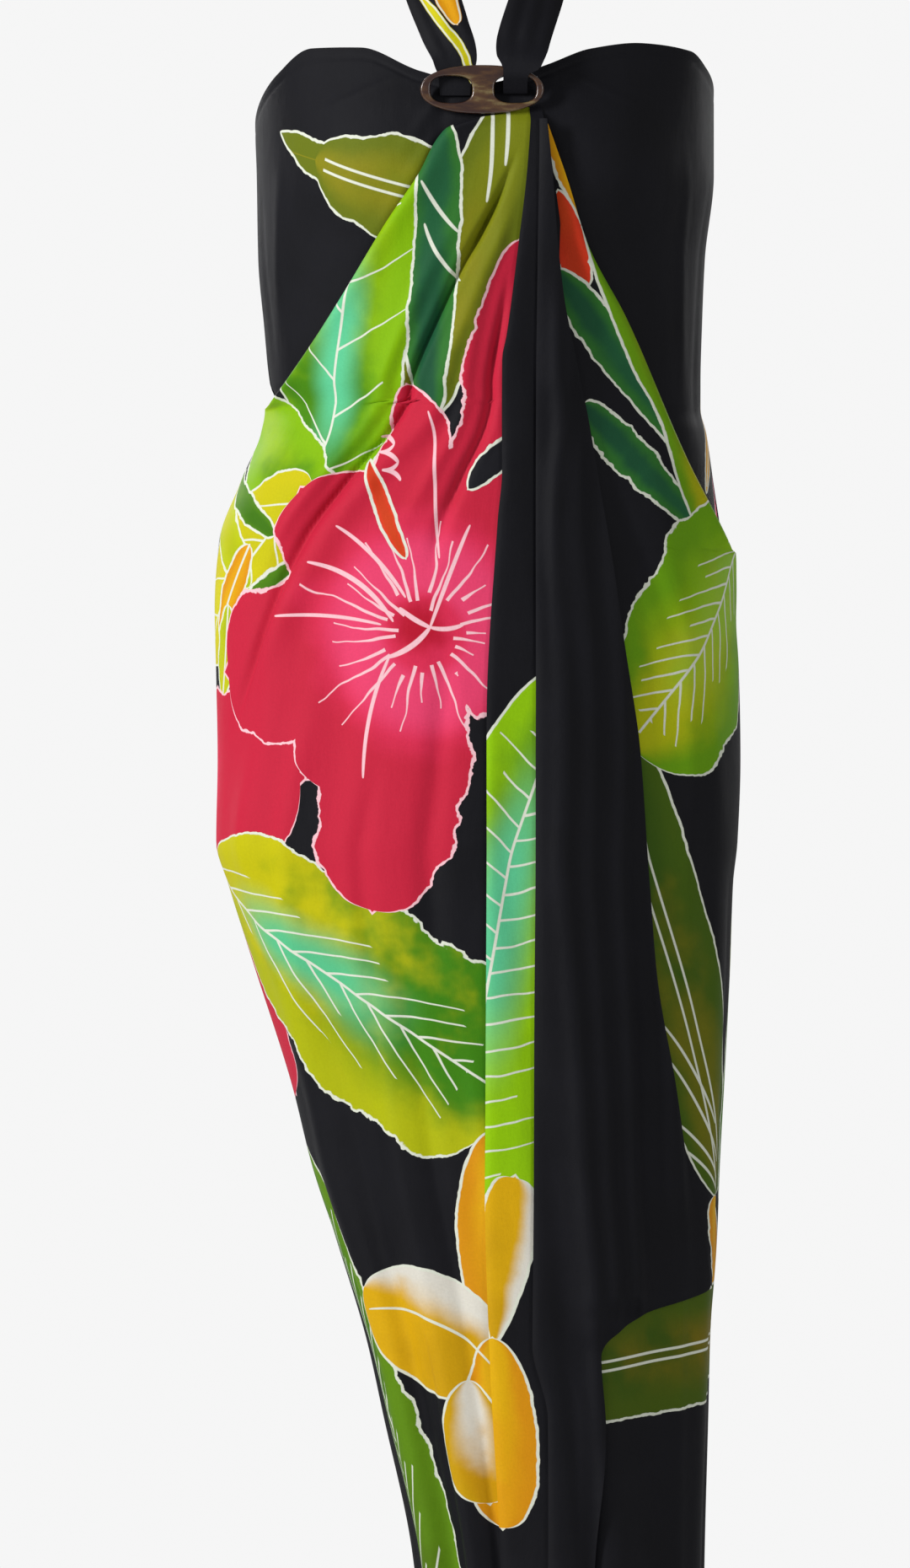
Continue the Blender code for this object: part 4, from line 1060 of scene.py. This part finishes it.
def make_knot():
    verts = []
    for r in range(1, KNOT_RINGS):
        tilt = math.pi * r / KNOT_RINGS
        for a in range(KNOT_AROUND):
            turn = 2 * math.pi * a / KNOT_AROUND
            wound = 1 + 0.11 * math.cos(6 * tilt + 2 * turn) + 0.025 * math.cos(19 * tilt + 7 * turn)
            verts.append(Vector((
                KNOT["half_wide"] * wound * math.sin(tilt) * math.cos(turn),
                KNOT["y"] + KNOT["half_deep"] * wound * math.sin(tilt) * math.sin(turn),
                KNOT["half_high"] * math.cos(tilt) * wound,
            )) * MM)
    top, bottom = len(verts), len(verts) + 1
    verts += [Vector((0, KNOT["y"], end * KNOT["half_high"])) * MM for end in (1, -1)]
    faces = []
    for a in range(KNOT_AROUND):
        b = (a + 1) % KNOT_AROUND
        last = (KNOT_RINGS - 2) * KNOT_AROUND
        faces += [(top, a, b), (bottom, last + b, last + a)]
        for r in range(KNOT_RINGS - 2):
            here = r * KNOT_AROUND
            faces.append((here + a, here + KNOT_AROUND + a, here + KNOT_AROUND + b, here + b))
    mesh = bpy.data.meshes.new("knot_cloth")
    mesh.from_pydata(verts, [], faces)
    mesh.polygons.foreach_set("use_smooth", [True] * len(mesh.polygons))
    layer = mesh.uv_layers.new(name="print")
    for loop in mesh.loops:
        spot = mesh.vertices[loop.vertex_index].co
        layer.data[loop.index].uv = (spot.x / MM, spot.z / MM)
    tidy = bmesh.new()
    tidy.from_mesh(mesh)
    bmesh.ops.recalc_face_normals(tidy, faces=tidy.faces)
    tidy.to_mesh(mesh)
    tidy.free()
    mesh.materials.append(batik("knot print", KNOT_MOTIFS, "tie"))
    made = add_object("knot_cloth", mesh)
    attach(made, "root")
    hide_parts("nape_knot")


make_knot()

# The buckle: a plate of polished coconut shell with two holes, sawn, sanded round at its rims and oiled
BUCKLE = {"y": -210.8, "z": -211.3, "half_long": 41.0, "half_high": 16.2, "thick": 5.0}
BUCKLE_HOLES = ((-20.5, 14.0, 9.0), (22.0, 14.0, 9.0))   # x, half length, half height


def shell_group():
    """Coconut shell: dark brown with tan streaks and flecks, under a thin polish"""
    g, i, o = new_group(
        "coconut shell", (("Point", "Vector", None),),
        (("Color", "Color"), ("Roughness", "Float"), ("Height", "Float")),
    )
    streak = g.noise(g.vector("MULTIPLY", i["Point"], (40, 40, 150)), 1.6, 5.0)
    fleck = g.noise(i["Point"], 900.0, 3.0)
    brown = g.mix(g.fade(streak, 0.38, 0.62), rgb(46, 22, 14), rgb(72, 46, 22))
    tan = g.mix(g.math("MULTIPLY", g.fade(streak, 0.56, 0.74), 0.8), brown, rgb(112, 98, 62))
    flecked = g.mix(g.math("MULTIPLY", g.fade(fleck, 0.58, 0.7), 0.6), tan, rgb(36, 18, 12))
    height = g.math("ADD", g.math("MULTIPLY", fleck, 0.12), g.math("MULTIPLY", streak, 0.2))
    g.tree.links.new(flecked, o["Color"])
    g.tree.links.new(g.math("ADD", 0.22, g.math("MULTIPLY", fleck, 0.2)), o["Roughness"])
    g.tree.links.new(height, o["Height"])
    return g.tree


def shell_material():
    made, g, shader = new_material("coconut shell")
    grain = g.group(shell_group(), {"Point": g.add("ShaderNodeTexCoord").outputs["Object"]})
    bump = g.add("ShaderNodeBump", {"Distance": MM, "Height": grain["Height"]})
    g.connect(shader, {
        "Base Color": grain["Color"], "Roughness": grain["Roughness"], "Normal": bump.outputs[0],
        "Coat Weight": 0.5, "Coat Roughness": 0.12,
    })
    return made


def flat_oval(name, x, half_long, half_high, thick, segments, squareness):
    """A round slab facing the front, stretched to an oval with fuller corners"""
    mesh = bpy.data.meshes.new(name)
    shape = bmesh.new()
    bmesh.ops.create_cone(shape, cap_ends=True, segments=segments, radius1=1, radius2=1, depth=1)
    for v in shape.verts:
        px, py, pz = v.co
        px = math.copysign(abs(px) ** squareness, px)
        py = math.copysign(abs(py) ** squareness, py)
        v.co = Vector((x + px * half_long, BUCKLE["y"] - pz * thick, BUCKLE["z"] + py * half_high)) * MM
    bmesh.ops.recalc_face_normals(shape, faces=shape.faces)
    shape.to_mesh(mesh)
    shape.free()
    return add_object(name, mesh)


def make_buckle():
    plate = flat_oval("buckle", 0, BUCKLE["half_long"], BUCKLE["half_high"], BUCKLE["thick"], 160, 0.9)
    for x, half_long, half_high in BUCKLE_HOLES:
        hole = flat_oval("hole", x, half_long, half_high, BUCKLE["thick"] * 2, 96, 0.72)
        cut = plate.modifiers.new("hole", "BOOLEAN")
        cut.object = hole
        cut.solver = "EXACT"
        bpy.context.view_layer.update()
        seen = plate.evaluated_get(bpy.context.evaluated_depsgraph_get())
        whole = bpy.data.meshes.new_from_object(seen)
        plate.modifiers.clear()
        plate.data = whole
        bpy.data.objects.remove(hole)
    rim = plate.modifiers.new("rounded rims", "BEVEL")
    rim.width = 1.9 * MM
    rim.segments = 5
    rim.limit_method = "ANGLE"
    rim.angle_limit = math.radians(50)
    plate.data.polygons.foreach_set("use_smooth", [True] * len(plate.data.polygons))
    plate.data.materials.clear()
    plate.data.materials.append(shell_material())
    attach(plate, "root")
    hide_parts("shell_buckle")


make_buckle()

# The studio: a round pale floor, an even pale backdrop all round, soft lamps in front and behind, and the
# photo's view
FLOOR_Z = -1.46     # metres below the nape, where a wearer's feet would stand
FLOOR_RADIUS = 2.5
CAMERA_AT = (-0.018, -6.2, -0.672)
VIEW_HIGH = 1.049   # metres of height that the photo shows
FACE_Y = -0.16      # metres, the plane on which that height is measured
SOFT_LIGHT = 0.32   # strength of the light from all round
BACKDROP = 0.92     # strength of the pale backdrop as seen


def make_floor():
    """A round floor, small enough to stay below the photo's view"""
    mesh = bpy.data.meshes.new("studio_floor")
    shape = bmesh.new()
    bmesh.ops.create_circle(shape, cap_ends=True, segments=96, radius=FLOOR_RADIUS)
    for v in shape.verts:
        v.co.z = FLOOR_Z
    shape.to_mesh(mesh)
    shape.free()
    material, g, shader = new_material("pale floor")
    g.connect(shader, {"Base Color": rgb(206, 206, 206), "Roughness": 0.9})
    mesh.materials.append(material)
    add_object("studio_floor", mesh)


def lamp(name, at, aim, size, watts):
    data = bpy.data.lights.new(name, "AREA")
    data.shape = "RECTANGLE"
    data.size, data.size_y = size
    data.energy = watts
    made = add_object(name, data)
    made.location = at
    made.rotation_euler = (Vector(aim) - Vector(at)).to_track_quat("-Z", "Y").to_euler()


def make_light_and_camera():
    world = bpy.data.worlds.new("studio")
    bpy.context.scene.world = world
    world.use_nodes = True
    g = Nodes(world.node_tree)
    white = (1, 1, 1, 1)
    soft = g.connect(world.node_tree.nodes["Background"], {"Color": white, "Strength": SOFT_LIGHT})
    seen = g.add("ShaderNodeBackground", {"Color": white, "Strength": BACKDROP}).outputs
    is_seen = g.add("ShaderNodeLightPath").outputs["Is Camera Ray"]
    both = g.add("ShaderNodeMixShader", (is_seen, soft[0], seen[0]))
    g.tree.links.new(both.outputs[0], world.node_tree.nodes["World Output"].inputs["Surface"])
    garment = (0.0, 0.0, -0.7)
    lamp("front left", (-2.9, -2.2, 0.8), garment, (0.6, 1.4), 160)
    lamp("front right", (2.6, -2.8, 0.0), garment, (0.8, 1.8), 30)
    lamp("back left", (-1.7, 2.6, 0.8), garment, (0.8, 1.6), 30)
    lamp("back right", (1.7, 2.6, 0.8), garment, (0.8, 1.6), 22)
    camera = bpy.data.cameras.new("photo_view")
    camera.sensor_width = 36.0
    camera.lens = 36.0 * (FACE_Y - CAMERA_AT[1]) / VIEW_HIGH
    camera.clip_end = 50
    made = add_object("photo_view", camera)
    made.location = CAMERA_AT
    made.rotation_euler = (math.radians(90), 0, 0)
    bpy.context.scene.camera = made
    bpy.context.scene.view_settings.view_transform = "Standard"


make_floor()
make_light_and_camera()
